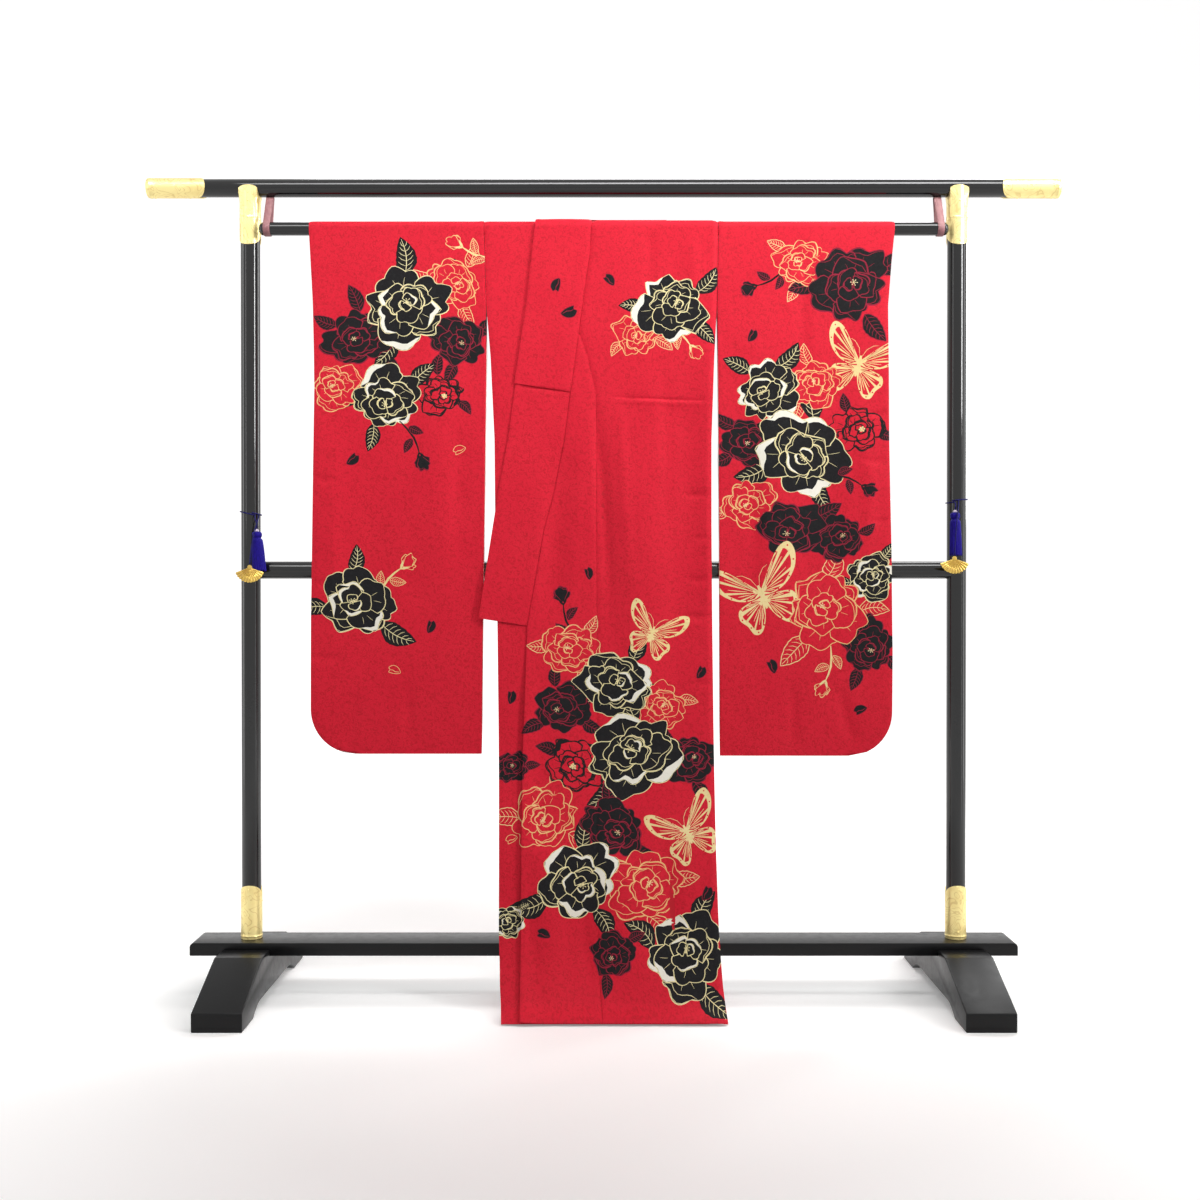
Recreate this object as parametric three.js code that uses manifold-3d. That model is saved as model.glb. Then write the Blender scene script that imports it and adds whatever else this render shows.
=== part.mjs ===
/**
 * A furisode, a long-sleeved kimono, hung flat over the rod of a lacquered kimono stand.
 *
 * Millimetres, +Z up. The origin is on the floor, midway between the stand's feet. -Y is the front.
 * "Right" and "left" are the wearer's: the right side is at -X and the left side at +X, and the
 * left front lies over the right front.
 */
import * as THREE from "three";
import { mergeVertices } from "three/addons/utils/BufferGeometryUtils.js";
import Module from "manifold-3d";

const wasm = await Module();
wasm.setup();

// ---------------------------------------------------------------------------------------------
// Driving dimensions
// ---------------------------------------------------------------------------------------------

const GAP = 0.3; // clearance between pieces that touch, and half of it on each side of a seam

const POST = { x: 723, radius: 19.5, bottom: 112.3, sides: 32, tenonRadius: 12, tenonBottom: 62 };
const TOP_RAIL = { height: 1648, radius: 18.25, halfLength: 932, sides: 32 };
const MID_RAIL = { height: 867, radius: 17.85 };
const CAP = { radius: 20.2, wall: 1.6, lip: 811, lobe: 27 };
const TOP_FITTING = { low: 1558, high: 1627, lowLobe: 29, highLobe: 23, wall: 1.6 };
const FOOT_FITTING = { high: 195, lobe: 28, wall: 1.6 };
const BOARD = { halfLength: 838, halfWidth: 43, bottom: 86, top: 112, corner: 9, edge: 1.5 };
const FOOT = { halfLength: 252, width: 96, toeHeight: 36, topHeight: 99, topHalf: 100, edge: 2 };
const ARCH = { halfLength: 172, height: 20, flatHalf: 120 };

const ROD_HEIGHT = 1559;
const ROD = { y: -22, height: ROD_HEIGHT, radius: 13.25, halfLength: 700, sides: 24 };
const STRAP = { x: 682, width: 16, thickness: 1.6, topHalf: 3.5, topHeight: 1629.3 };

const CLOTH = 1.2; // thickness of the lined crepe
const PLY = 2.4; // distance from one layer of the fronts to the next
const LAID_ON = 0.4; // clearance under a piece that lies on another
const CUFF = 1344; // the cuff's opening ends here, and the outer edge is sewn below it
const ARMHOLE = 1400; // the sleeve is sewn to the body above this height
const SIDE_OPENING = 1270; // the body's side seam starts here
const OVERLAP_TIP = 1344; // the overlap panel's point, on the collar's seam
const COLLAR_END = { seamSide: 754, freeSide: 769 };
const OVER_COLLAR_END = { seamSide: 1226, freeSide: 1243 };
const FOLDED_COLLAR = 46; // the under front's collar is folded in to this width
const HEM = 3;
const LINING = { low: 870, high: 1330, showing: 2, hidden: 18, thickness: 1 };

// The backs are drawn together at their middle: the left one laps over the right one in a pleat,
// which opens below the neck. Its lap runs in between two heights and is level with the right
// back above the third.
const PLEAT = { lap: 26, full: 1394, runIn: 1450, level: 1506, settleFrom: 27, settleTo: 50 };
const NECK = { low: 1512, ends: ROD_HEIGHT - 6 };

// How the body's cloth hangs: the depth of its front fall and of its back fall at each height.
const BODY_HANG = [
  { height: 1559, front: -35.25, back: -8.75 },
  { height: 1300, front: -36, back: -15 },
  { height: 1000, front: -37.5, back: -22.5 },
  { height: 867, front: -39, back: -24.5 },
  { height: 700, front: -42, back: -28 },
  { height: 500, front: -52, back: -35 },
  { height: 315, front: -82, back: -59 },
  { height: 122, front: -125, back: -97 },
  { height: 35, front: -170, back: -139 },
  { height: HEM, front: -212, back: -178 },
];

// How each sleeve hangs, clear of the mid rail behind it.
const SLEEVE_HANG = [
  { height: 1559, front: -35.25, back: -8.75 },
  { height: 1400, front: -35, back: -15 },
  { height: 1200, front: -34.5, back: -19 },
  { height: 1000, front: -34, back: -21 },
  { height: 700, front: -32.5, back: -21.5 },
  { height: 490, front: -31, back: -21.5 },
];

// The body's two sides.
const BODY_SIDES = [
  { height: 1574, right: -242.5, left: 232 },
  { height: 1400, right: -237.5, left: 229 },
  { height: 1297, right: -229, left: 223.5 },
  { height: 1130, right: -221, left: 218 },
  { height: 960, right: -219.5, left: 218 },
  { height: 754, right: -215, left: 219.5 },
  { height: 493, right: -211.5, left: 222 },
  { height: 315, right: -209, left: 223.5 },
  { height: 159, right: -207, left: 226.5 },
  { height: 60, right: -202, left: 231 },
  { height: HEM, right: -195.5, left: 236 },
];

// One front, measured across from its own side: the seam that joins the collar, the collar's free
// edge, and below the collar the front edge.
const FRONT_CUT = [
  { height: 1574, collarSeam: 256.5, collarFree: 370 },
  { height: 1506, collarSeam: 258.8, collarFree: 376.8 },
  { height: 1394, collarSeam: 272.7, collarFree: 386.2 },
  { height: 1297, collarSeam: 280.5, collarFree: 394.5 },
  { height: 1226, collarSeam: 288.3, collarFree: 401.8 },
  { height: 1130, collarSeam: 297, collarFree: 412 },
  { height: 1013, collarSeam: 321, collarFree: 433 },
  { height: 947, collarSeam: 339, collarFree: 443 },
  { height: 856, collarSeam: 355.3, collarFree: 457.3 },
  { height: 754, collarSeam: 374, collarFree: 472.5 },
  { height: 493, collarSeam: 385, collarFree: 385 },
  { height: 159, collarSeam: 389.5, collarFree: 389.5 },
  { height: HEM, collarSeam: 396, collarFree: 396 },
];

// The seam between a front and its overlap panel, from the same side.
const OVERLAP_SEAM = [
  { height: OVERLAP_TIP, across: 274.7 },
  { height: 1297, across: 256 },
  { height: 1226, across: 237 },
  { height: 1130, across: 232 },
  { height: 754, across: 233 },
  { height: HEM, across: 239 },
];

// Each sleeve: its inner edge beside the body and its outer edge, as they hang.
const SLEEVES = {
  right: {
    bottom: 494,
    corner: 91,
    edges: [
      { height: 1574, inner: -242.5, outer: -597 },
      { height: 1400, inner: -237.5, outer: -588 },
      { height: 1300, inner: -236.8, outer: -586 },
      { height: 1231, inner: -237.6, outer: -585.7 },
      { height: 1008, inner: -240.5, outer: -589.5 },
      { height: 765, inner: -244.5, outer: -593.5 },
      { height: 494, inner: -247.2, outer: -594.9 },
    ],
  },
  left: {
    bottom: 490,
    corner: 87,
    edges: [
      { height: 1574, inner: 232, outer: 590 },
      { height: 1490, inner: 230.55, outer: 581.7 },
      { height: 1400, inner: 229, outer: 574.8 },
      { height: 1281, inner: 230.7, outer: 576.6 },
      { height: 1130, inner: 232, outer: 577.6 },
      { height: 917, inner: 233.6, outer: 582.7 },
      { height: 704, inner: 234.6, outer: 585.7 },
      { height: 490, inner: 235.4, outer: 584.7 },
    ],
  },
};

// The widest folds of the hanging cloth: a soft ridge (+) or trough (-) from top to foot.
const BODY_FOLDS = [
  { topX: -82, footX: -112, top: 1150, foot: 700, reach: 46, rise: -3 },
  { topX: 60, footX: 92, top: 1180, foot: 420, reach: 75, rise: 3.5 },
  { topX: 168, footX: 176, top: 1330, foot: 640, reach: 60, rise: -3 },
  { topX: 30, footX: 58, top: 330, foot: 20, reach: 80, rise: 5 },
  { topX: -120, footX: -112, top: 380, foot: 20, reach: 60, rise: 4 },
];
const BACK_FOLDS = [
  { topX: -96, footX: -78, top: 800, foot: 130, reach: 80, rise: 4 },
  { topX: 104, footX: 122, top: 820, foot: 200, reach: 75, rise: 3.5 },
];
const SLEEVE_FOLDS = {
  right: [
    { topX: -350, footX: -322, top: 1480, foot: 700, reach: 70, rise: 3.5 },
    { topX: -480, footX: -500, top: 1250, foot: 560, reach: 85, rise: -3 },
  ],
  left: [
    { topX: 330, footX: 352, top: 1440, foot: 620, reach: 75, rise: 3 },
    { topX: 470, footX: 448, top: 1500, foot: 820, reach: 70, rise: -3 },
  ],
};

// Heights of the rows that every full-length panel shares, and the arcs over the rod above them.
const FALL_TOP = ROD.height - GAP / 2;
const BODY_ROWS = [
  HEM, 14, 32, 58, 92, 122, 165, 215, 265, 315, 370, 430, 493, 590, 680, 754, 856, 947, 1013, 1130,
  1226, 1297, OVERLAP_TIP, 1394, 1450, 1506, FALL_TOP,
];
const SLEEVE_RISES = [0, 8, 24, 48, 90, 180, 290, 410, 530, 640, 740, 854];
const QUARTER_TURN = (ROD.radius * Math.PI) / 2;
const ROD_STEPS = 4; // rows from the rod's middle height to its top
const ROD_ROWS = Array.from({ length: ROD_STEPS }, (_, k) => (
  Math.min(ROD.height + (QUARTER_TURN * (k + 1)) / ROD_STEPS, ROD.height + QUARTER_TURN - GAP / 2)
));
const COLLAR_ROWS = [...BODY_ROWS, ...ROD_ROWS];

// Where the columns of a panel stand, as shares of its width from its sewn side edge.
const PANEL_COLUMNS = [0, 0.05, 0.14, 0.3, 0.48, 0.66, 0.83, 1];
const PLEATED_COLUMNS = [0, 0.05, 0.14, 0.3, 0.5, 0.68, 0.8, 0.89, 1];
const STRIP_COLUMNS = [0, 0.33, 0.67, 1];
const NECK_COLUMNS = [0, 0.08, 0.22, 0.4, 0.6, 0.78, 0.92, 1];
const NECK_RISES = [0, 0.33, 0.67, 1]; // shares of the way from the band's foot to the rod's middle

const COLOURS = {
  crepe: { color: 0xc9202f, roughness: 0.85, metalness: 0 },
  lining: { color: 0xf2ece4, roughness: 0.8, metalness: 0 },
  lacquer: { color: 0x0b0b0c, roughness: 0.12, metalness: 0 },
  gilt: { color: 0xe0b850, roughness: 0.3, metalness: 1 },
  strap: { color: 0xb08080, roughness: 0.9, metalness: 0 },
  silk: { color: 0x241e8c, roughness: 0.6, metalness: 0 },
};

const part = new THREE.Group();

// ---------------------------------------------------------------------------------------------
// Making and cutting solids
// ---------------------------------------------------------------------------------------------

/** Adds one named piece of the object. */
function addPiece(name, geometry, colour) {
  const mesh = new THREE.Mesh(geometry, new THREE.MeshStandardMaterial(COLOURS[colour]));
  mesh.name = name;
  part.add(mesh);
  return mesh;
}

/** Position-only geometry with shared corners merged and empty triangles dropped. */
function welded(geometry) {
  const bare = new THREE.BufferGeometry();
  bare.setAttribute("position", geometry.getAttribute("position"));
  bare.setIndex(geometry.index);
  const merged = mergeVertices(bare, 1e-3);
  const index = merged.index.array;
  const kept = [];
  for (let i = 0; i < index.length; i += 3) {
    const [a, b, c] = [index[i], index[i + 1], index[i + 2]];
    if (a !== b && b !== c && c !== a) {
      kept.push(a, b, c);
    }
  }
  merged.setIndex(kept);
  return merged;
}

/** The same closed geometry as a solid that can be joined and cut. */
function asSolid(geometry) {
  const closed = welded(geometry);
  return new wasm.Manifold(
    new wasm.Mesh({
      numProp: 3,
      vertProperties: new Float32Array(closed.getAttribute("position").array),
      triVerts: new Uint32Array(closed.index.array),
    }),
  );
}

/** A joined or cut solid as geometry again. */
function asGeometry(solid) {
  const mesh = solid.getMesh();
  const geometry = new THREE.BufferGeometry();
  geometry.setAttribute("position", new THREE.BufferAttribute(mesh.vertProperties, 3));
  geometry.setIndex(Array.from(mesh.triVerts));
  geometry.computeVertexNormals();
  return geometry;
}

/** The first geometry with all the others cut away. */
function cut(geometry, ...cutters) {
  const left = cutters.reduce((solid, cutter) => solid.subtract(asSolid(cutter)), asSolid(geometry));
  return asGeometry(left);
}

/** All the geometries joined into one. */
function join(first, ...others) {
  return asGeometry(others.reduce((solid, other) => solid.add(asSolid(other)), asSolid(first)));
}

/**
 * A closed surface through rings of points. The last ring joins the first when the rings go round
 * a hole; otherwise the two end rings are closed across.
 */
function throughRings(rings, goesRound = false) {
  const size = rings[0].length;
  const corners = rings.flat().flatMap((point) => [point.x, point.y, point.z]);
  const index = [];
  const joints = goesRound ? rings.length : rings.length - 1;
  for (let i = 0; i < joints; i += 1) {
    const low = i * size;
    const high = ((i + 1) % rings.length) * size;
    for (let j = 0; j < size; j += 1) {
      const next = (j + 1) % size;
      index.push(low + j, low + next, high + next, low + j, high + next, high + j);
    }
  }
  if (!goesRound) {
    const top = (rings.length - 1) * size;
    for (let j = 0; j < size / 2 - 1; j += 1) {
      const [a, b, c, d] = [j, j + 1, size - 2 - j, size - 1 - j];
      index.push(a, c, b, a, d, c);
      index.push(top + a, top + b, top + c, top + a, top + c, top + d);
    }
  }
  const geometry = new THREE.BufferGeometry();
  geometry.setAttribute("position", new THREE.Float32BufferAttribute(corners, 3));
  geometry.setIndex(index);
  const closed = welded(geometry);
  closed.computeVertexNormals();
  return closed;
}

/** A round bar along X between two places. */
function barAlongX(radius, from, to, sides) {
  return new THREE.CylinderGeometry(radius, radius, to - from, sides)
    .rotateZ(Math.PI / 2)
    .translate((from + to) / 2, 0, 0);
}

/** A round bar along Z between two heights. */
function barAlongZ(radius, from, to, sides) {
  return new THREE.CylinderGeometry(radius, radius, to - from, sides)
    .rotateX(Math.PI / 2)
    .translate(0, 0, (from + to) / 2);
}

/** An outline in Y and Z, given depth along X and centred on X = 0. */
function slabAlongX(outline, width, edge) {
  const geometry = new THREE.ExtrudeGeometry(outline, {
    depth: width - 2 * edge,
    bevelEnabled: edge > 0,
    bevelThickness: edge,
    bevelSize: edge,
    bevelOffset: -edge,
    bevelSegments: 1,
    curveSegments: 8,
  }).translate(0, 0, edge - width / 2);
  const turn = new THREE.Matrix4().makeBasis(
    new THREE.Vector3(0, 1, 0),
    new THREE.Vector3(0, 0, 1),
    new THREE.Vector3(1, 0, 0),
  );
  return geometry.applyMatrix4(turn);
}

/** An outline in X and Z, given depth along Y and centred on Y = 0. */
function slabAlongY(outline, depth, edge) {
  const geometry = new THREE.ExtrudeGeometry(outline, {
    depth: depth - 2 * edge,
    bevelEnabled: edge > 0,
    bevelThickness: edge,
    bevelSize: edge,
    bevelOffset: -edge,
    bevelSegments: 1,
    curveSegments: 4,
  }).translate(0, 0, edge - depth / 2);
  return geometry.rotateX(Math.PI / 2);
}

/** A ring of points around +Z; radius and height may change with the angle from the front. */
function ringAround(sides, radius, heightAt) {
  return Array.from({ length: sides }, (_, k) => {
    const angle = (k / sides) * 2 * Math.PI;
    return new THREE.Vector3(radius * Math.sin(angle), -radius * Math.cos(angle), heightAt(angle));
  });
}

/** Height of a round lobe, 1 at the front and the back and 0 at the notches on both sides. */
function lobe(angle) {
  const fromMiddle = Math.abs(Math.asin(Math.sin(angle))) / (Math.PI / 2);
  return Math.sqrt(Math.max(0, 1 - fromMiddle * fromMiddle));
}

// ---------------------------------------------------------------------------------------------
// The stand
// ---------------------------------------------------------------------------------------------

/** A sheet-metal tube whose two ends follow lobed edges. */
function fittingTube(innerRadius, wall, lowAt, highAt) {
  const outerRadius = innerRadius + wall;
  return throughRings(
    [
      ringAround(POST.sides, outerRadius, lowAt),
      ringAround(POST.sides, outerRadius, highAt),
      ringAround(POST.sides, innerRadius, highAt),
      ringAround(POST.sides, innerRadius, lowAt),
    ],
    true,
  );
}

/** A closed cap over the rail's end, with a lobed lip. It is built upright and laid along X. */
function railCap(direction) {
  const inner = TOP_RAIL.radius + GAP;
  const end = TOP_RAIL.halfLength;
  const lipAt = (angle) => CAP.lip + CAP.lobe * (1 - lobe(angle));
  const flat = (height) => () => height;
  const rings = [
    ringAround(POST.sides, 0, flat(end - CAP.wall)),
    ringAround(POST.sides, inner, flat(end - CAP.wall)),
    ringAround(POST.sides, inner, lipAt),
    ringAround(POST.sides, CAP.radius, lipAt),
    ringAround(POST.sides, CAP.radius, flat(end - 2)),
    ringAround(POST.sides, CAP.radius - 2, flat(end)),
    ringAround(POST.sides, 0, flat(end)),
  ];
  return throughRings(rings)
    .rotateY((direction * Math.PI) / 2)
    .translate(0, 0, TOP_RAIL.height);
}

function buildStand() {
  const rail = TOP_RAIL.halfLength - CAP.wall - GAP;
  addPiece("top_rail", barAlongX(TOP_RAIL.radius, -rail, rail, TOP_RAIL.sides), "lacquer")
    .position.set(0, 0, TOP_RAIL.height);

  const postBore = barAlongZ(POST.radius + GAP, 0, TOP_RAIL.height, POST.sides);
  const midRail = cut(
    barAlongX(MID_RAIL.radius, -POST.x, POST.x, TOP_RAIL.sides).translate(0, 0, MID_RAIL.height),
    postBore.clone().translate(-POST.x, 0, 0),
    postBore.clone().translate(POST.x, 0, 0),
  );
  addPiece("mid_rail", midRail, "lacquer");

  const boardOutline = new THREE.Shape();
  boardOutline.moveTo(-BOARD.halfLength, BOARD.bottom);
  boardOutline.lineTo(BOARD.halfLength, BOARD.bottom);
  boardOutline.lineTo(BOARD.halfLength, BOARD.top - BOARD.corner);
  boardOutline.absarc(
    BOARD.halfLength - BOARD.corner, BOARD.top - BOARD.corner, BOARD.corner, 0, Math.PI / 2, false,
  );
  boardOutline.lineTo(-BOARD.halfLength + BOARD.corner, BOARD.top);
  boardOutline.absarc(
    -BOARD.halfLength + BOARD.corner, BOARD.top - BOARD.corner, BOARD.corner, Math.PI / 2, Math.PI, false,
  );
  const tenonHole = barAlongZ(POST.tenonRadius + GAP, POST.tenonBottom - GAP, BOARD.top + 10, 20);
  const board = cut(
    slabAlongY(boardOutline, 2 * BOARD.halfWidth, BOARD.edge),
    tenonHole.clone().translate(-POST.x, 0, 0),
    tenonHole.clone().translate(POST.x, 0, 0),
  );
  addPiece("base_board", board, "lacquer");

  for (const [side, direction] of [["right", -1], ["left", 1]]) {
    const x = direction * POST.x;
    const fullPost = join(
      barAlongZ(POST.radius, POST.bottom, TOP_RAIL.height, POST.sides),
      barAlongZ(POST.tenonRadius, POST.tenonBottom, POST.bottom + 1, 20),
    );
    const railSaddle = barAlongX(TOP_RAIL.radius + GAP, -60, 60, TOP_RAIL.sides)
      .translate(0, 0, TOP_RAIL.height);
    addPiece(`post_${side}`, cut(fullPost, railSaddle), "lacquer").position.x = x;

    const topFitting = fittingTube(
      POST.radius + GAP,
      TOP_FITTING.wall,
      (angle) => TOP_FITTING.low - TOP_FITTING.lowLobe * lobe(angle),
      (angle) => TOP_FITTING.high + TOP_FITTING.highLobe * lobe(angle),
    );
    addPiece(`top_fitting_${side}`, cut(topFitting, railSaddle), "gilt").position.x = x;

    const footFitting = fittingTube(
      POST.radius + GAP,
      FOOT_FITTING.wall,
      () => BOARD.top + GAP,
      (angle) => FOOT_FITTING.high + FOOT_FITTING.lobe * lobe(angle),
    );
    addPiece(`foot_fitting_${side}`, footFitting, "gilt").position.x = x;

    addPiece(`cap_${side}`, railCap(direction), "gilt");
    addPiece(`foot_${side}`, cut(footBlock(), tenonHole), "lacquer").position.x = x;
  }
}

/** A foot: a block with sloping toes, a notch for the board and a low arch between its pads. */
function footBlock() {
  const notchHalf = BOARD.halfWidth + GAP;
  const notchFloor = BOARD.bottom - GAP;
  const outline = new THREE.Shape();
  outline.moveTo(-FOOT.halfLength, 0);
  outline.lineTo(-ARCH.halfLength, 0);
  outline.quadraticCurveTo(-ARCH.flatHalf - 20, ARCH.height, -ARCH.flatHalf, ARCH.height);
  outline.lineTo(ARCH.flatHalf, ARCH.height);
  outline.quadraticCurveTo(ARCH.flatHalf + 20, ARCH.height, ARCH.halfLength, 0);
  outline.lineTo(FOOT.halfLength, 0);
  outline.lineTo(FOOT.halfLength, FOOT.toeHeight);
  outline.lineTo(FOOT.topHalf, FOOT.topHeight);
  outline.lineTo(notchHalf, FOOT.topHeight);
  outline.lineTo(notchHalf, notchFloor);
  outline.lineTo(-notchHalf, notchFloor);
  outline.lineTo(-notchHalf, FOOT.topHeight);
  outline.lineTo(-FOOT.topHalf, FOOT.topHeight);
  outline.lineTo(-FOOT.halfLength, FOOT.toeHeight);
  return slabAlongX(outline, FOOT.width, 0);
}

// ---------------------------------------------------------------------------------------------
// The hanging rod, its straps and the tassels
// ---------------------------------------------------------------------------------------------

/** The rod, turned with rounded ends. */
function hangingRod() {
  const end = ROD.halfLength;
  const profile = [
    [0, -end], [8.5, -end + 1], [12, -end + 4.5], [ROD.radius, -end + 10],
    [ROD.radius, end - 10], [12, end - 4.5], [8.5, end - 1], [0, end],
  ].map(([radius, along]) => new THREE.Vector2(radius, along));
  return new THREE.LatheGeometry(profile, ROD.sides)
    .rotateZ(-Math.PI / 2)
    .translate(0, ROD.y, ROD.height);
}

/** The outline, in Y and Z, of a band that comes down from under the rail and round the rod. */
function loopOutline(Outline, around, topHalf, topHeight) {
  const outline = new Outline();
  const lean = Math.atan2(-ROD.y, topHeight - ROD.height);
  const rightSide = -lean;
  outline.moveTo(topHalf, topHeight);
  outline.lineTo(-topHalf, topHeight);
  outline.absarc(ROD.y, ROD.height, around, Math.PI + rightSide, 2 * Math.PI + rightSide, false);
  outline.closePath();
  return outline;
}

function strapLoop() {
  const inside = ROD.radius + GAP;
  const outline = loopOutline(THREE.Shape, inside + STRAP.thickness, STRAP.topHalf, STRAP.topHeight);
  const hole = loopOutline(
    THREE.Path, inside, STRAP.topHalf - STRAP.thickness, STRAP.topHeight - STRAP.thickness,
  );
  outline.holes.push(hole);
  return slabAlongX(outline, STRAP.width, 0);
}

// The two tassels: the cord's ring on the post, the head, the skirt's bottom and the fan's pivot.
const TASSELS = [
  {
    side: "right", ringHeight: 985, tilt: 0.2, headX: -704, headHeight: 945, headRadius: 9,
    bottomX: -698, bottomHeight: 866, bottomRadius: 15, fanX: -714, fanHeight: 872,
  },
  {
    side: "left", ringHeight: 1010, tilt: -0.12, headX: 713, headHeight: 984, headRadius: 9,
    bottomX: 714, bottomHeight: 897, bottomRadius: 13, fanX: 708, fanHeight: 890,
  },
];
const CORD = { radius: 1.4, sides: 8 };
const TASSEL_DEPTH = 0.7; // a tassel is flattened against the post
const FAN = { radius: 31, hub: 4.5, ribs: 12, halfSpread: 1.22, thickness: 2 };

/** A cord along a few points. */
function cordAlong(points) {
  const section = new THREE.Shape(
    Array.from({ length: CORD.sides }, (_, k) => {
      const angle = (k / CORD.sides) * 2 * Math.PI;
      return new THREE.Vector2(CORD.radius * Math.cos(angle), CORD.radius * Math.sin(angle));
    }),
  );
  const path = new THREE.CatmullRomCurve3(points.map((point) => new THREE.Vector3(...point)));
  return new THREE.ExtrudeGeometry(section, { steps: 10, extrudePath: path, bevelEnabled: false });
}

/** Depth of the middle of a tassel's skirt, so that its back stays clear of post and rail. */
function skirtDepth(radius) {
  return -(POST.radius + 1 + radius * TASSEL_DEPTH);
}

function buildTassel(spec) {
  const headY = skirtDepth(spec.headRadius);
  const bottomY = skirtDepth(spec.bottomRadius);
  const length = spec.headHeight - spec.bottomHeight;
  const section = [
    [0, 1], [0.62, 0.975], [1, 0.9], [1.05, 0.82], [0.86, 0.74], [1.02, 0.66], [1.25, 0.3], [1, 0], [0, 0],
  ];
  const skirtGrowth = spec.bottomRadius / spec.headRadius;
  const rings = section.map(([share, along]) => {
    const radius = along === 0 ? share * spec.bottomRadius
      : share * spec.headRadius * (along < 0.7 ? 1 + (skirtGrowth / 1.25 - 1) * (1 - along / 0.7) : 1);
    const x = THREE.MathUtils.lerp(spec.bottomX, spec.headX, along);
    const y = THREE.MathUtils.lerp(bottomY, headY, along);
    const height = spec.bottomHeight + length * along;
    return ringAround(16, radius, () => height).map(
      (point) => new THREE.Vector3(x + point.x, y + point.y * TASSEL_DEPTH, point.z),
    );
  });
  addPiece(`tassel_${spec.side}`, throughRings(rings.reverse()), "silk");

  const postX = Math.sign(spec.headX) * POST.x;
  const ringRadius = POST.radius + GAP + CORD.radius;
  const ring = new THREE.TorusGeometry(ringRadius, CORD.radius, CORD.sides, 28)
    .scale(1 / Math.cos(spec.tilt), 1, 1)
    .rotateY(spec.tilt)
    .translate(postX, 0, spec.ringHeight);
  const headTop = spec.headHeight + CORD.radius + GAP;
  const fanY = bottomY - spec.bottomRadius * TASSEL_DEPTH - 3;
  const tieX = postX + (spec.headX - postX) * 0.7;
  const tieY = -Math.sqrt(ringRadius ** 2 - (tieX - postX) ** 2);
  const tieHeight = spec.ringHeight - Math.tan(spec.tilt) * (tieX - postX);
  const strand = cordAlong([
    [tieX, tieY, tieHeight],
    [spec.headX, headY - 1, (tieHeight + headTop) / 2],
    [spec.headX, headY, headTop],
  ]);
  const middle = (spec.headHeight + spec.bottomHeight) / 2;
  const fanStrand = cordAlong([
    [tieX, tieY, tieHeight],
    [spec.headX, headY - spec.headRadius * TASSEL_DEPTH - 3, spec.headHeight],
    [(spec.headX + spec.fanX) / 2, fanY + 1, middle],
    [spec.fanX, fanY, spec.fanHeight + FAN.hub + 2],
  ]);
  addPiece(`tassel_cord_${spec.side}`, join(ring, strand, fanStrand), "silk");
  addPiece(`fan_${spec.side}`, fanCharm(), "gilt").position.set(spec.fanX, fanY, spec.fanHeight);
}

/** An open folding fan that hangs from its pivot, each rib's end a shallow round. */
function fanCharm() {
  const outline = new THREE.Shape();
  outline.moveTo(FAN.hub, 0);
  outline.absarc(0, 0, FAN.hub, 0, Math.PI, false);
  const step = (2 * FAN.halfSpread) / FAN.ribs;
  for (let rib = 0; rib < FAN.ribs; rib += 1) {
    for (const [share, radius] of [[0.12, FAN.radius - 1.5], [0.5, FAN.radius], [0.88, FAN.radius - 1.5]]) {
      const angle = -Math.PI / 2 - FAN.halfSpread + (rib + share) * step;
      outline.lineTo(radius * Math.cos(angle), radius * Math.sin(angle));
    }
  }
  return slabAlongY(outline, FAN.thickness, 0);
}

function buildHangings() {
  addPiece("hanging_rod", hangingRod(), "lacquer");
  addPiece("strap_right", strapLoop(), "strap").position.x = -STRAP.x;
  addPiece("strap_left", strapLoop(), "strap").position.x = STRAP.x;
  TASSELS.forEach(buildTassel);
}

// ---------------------------------------------------------------------------------------------
// How the cloth hangs
// ---------------------------------------------------------------------------------------------

const smooth = (low, high, value) => THREE.MathUtils.smoothstep(value, low, high);
const mix = THREE.MathUtils.lerp;

/** The two rows of a table around a height, and how far the height is from one to the other. */
function rowsAround(table, height) {
  const held = THREE.MathUtils.clamp(height, table.at(-1).height, table[0].height);
  const below = Math.max(1, table.findIndex((row) => row.height <= held));
  const [high, low] = [table[below - 1], table[below]];
  return { below, share: (high.height - held) / (high.height - low.height) };
}

/** A column of a table at any height, along straight lines. */
function lookUp(table, column, height) {
  const { below, share } = rowsAround(table, height);
  return mix(table[below - 1][column], table[below][column], share);
}

/** A column of a table at any height, along a smooth curve through its rows. */
function curveThrough(table, column, height) {
  const { below, share } = rowsAround(table, height);
  const rows = [below - 2, below - 1, below, below + 1].map(
    (i) => table[THREE.MathUtils.clamp(i, 0, table.length - 1)],
  );
  const span = rows[2].height - rows[1].height;
  const slope = (from, to) => (rows[to][column] - rows[from][column]) / (rows[to].height - rows[from].height);
  const startSlope = slope(0, 2) * span;
  const endSlope = slope(1, 3) * span;
  const [t, t2, t3] = [share, share ** 2, share ** 3];
  return (2 * t3 - 3 * t2 + 1) * rows[1][column] + (t3 - 2 * t2 + t) * startSlope
    + (3 * t2 - 2 * t3) * rows[2][column] + (t3 - t2) * endSlope;
}

/** How far the folds lift or sink the cloth at a place. */
function foldRise(folds, x, height) {
  return folds.reduce((sum, fold) => {
    const along = (fold.top - height) / (fold.top - fold.foot);
    const across = (x - mix(fold.topX, fold.footX, along)) / fold.reach;
    if (Math.abs(across) >= 1 || along <= 0 || along >= 1) {
      return sum;
    }
    const fade = smooth(0, 0.3, along) * smooth(0, 0.3, 1 - along);
    return sum + fold.rise * fade * Math.cos((across * Math.PI) / 2) ** 2;
  }, 0);
}

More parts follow.
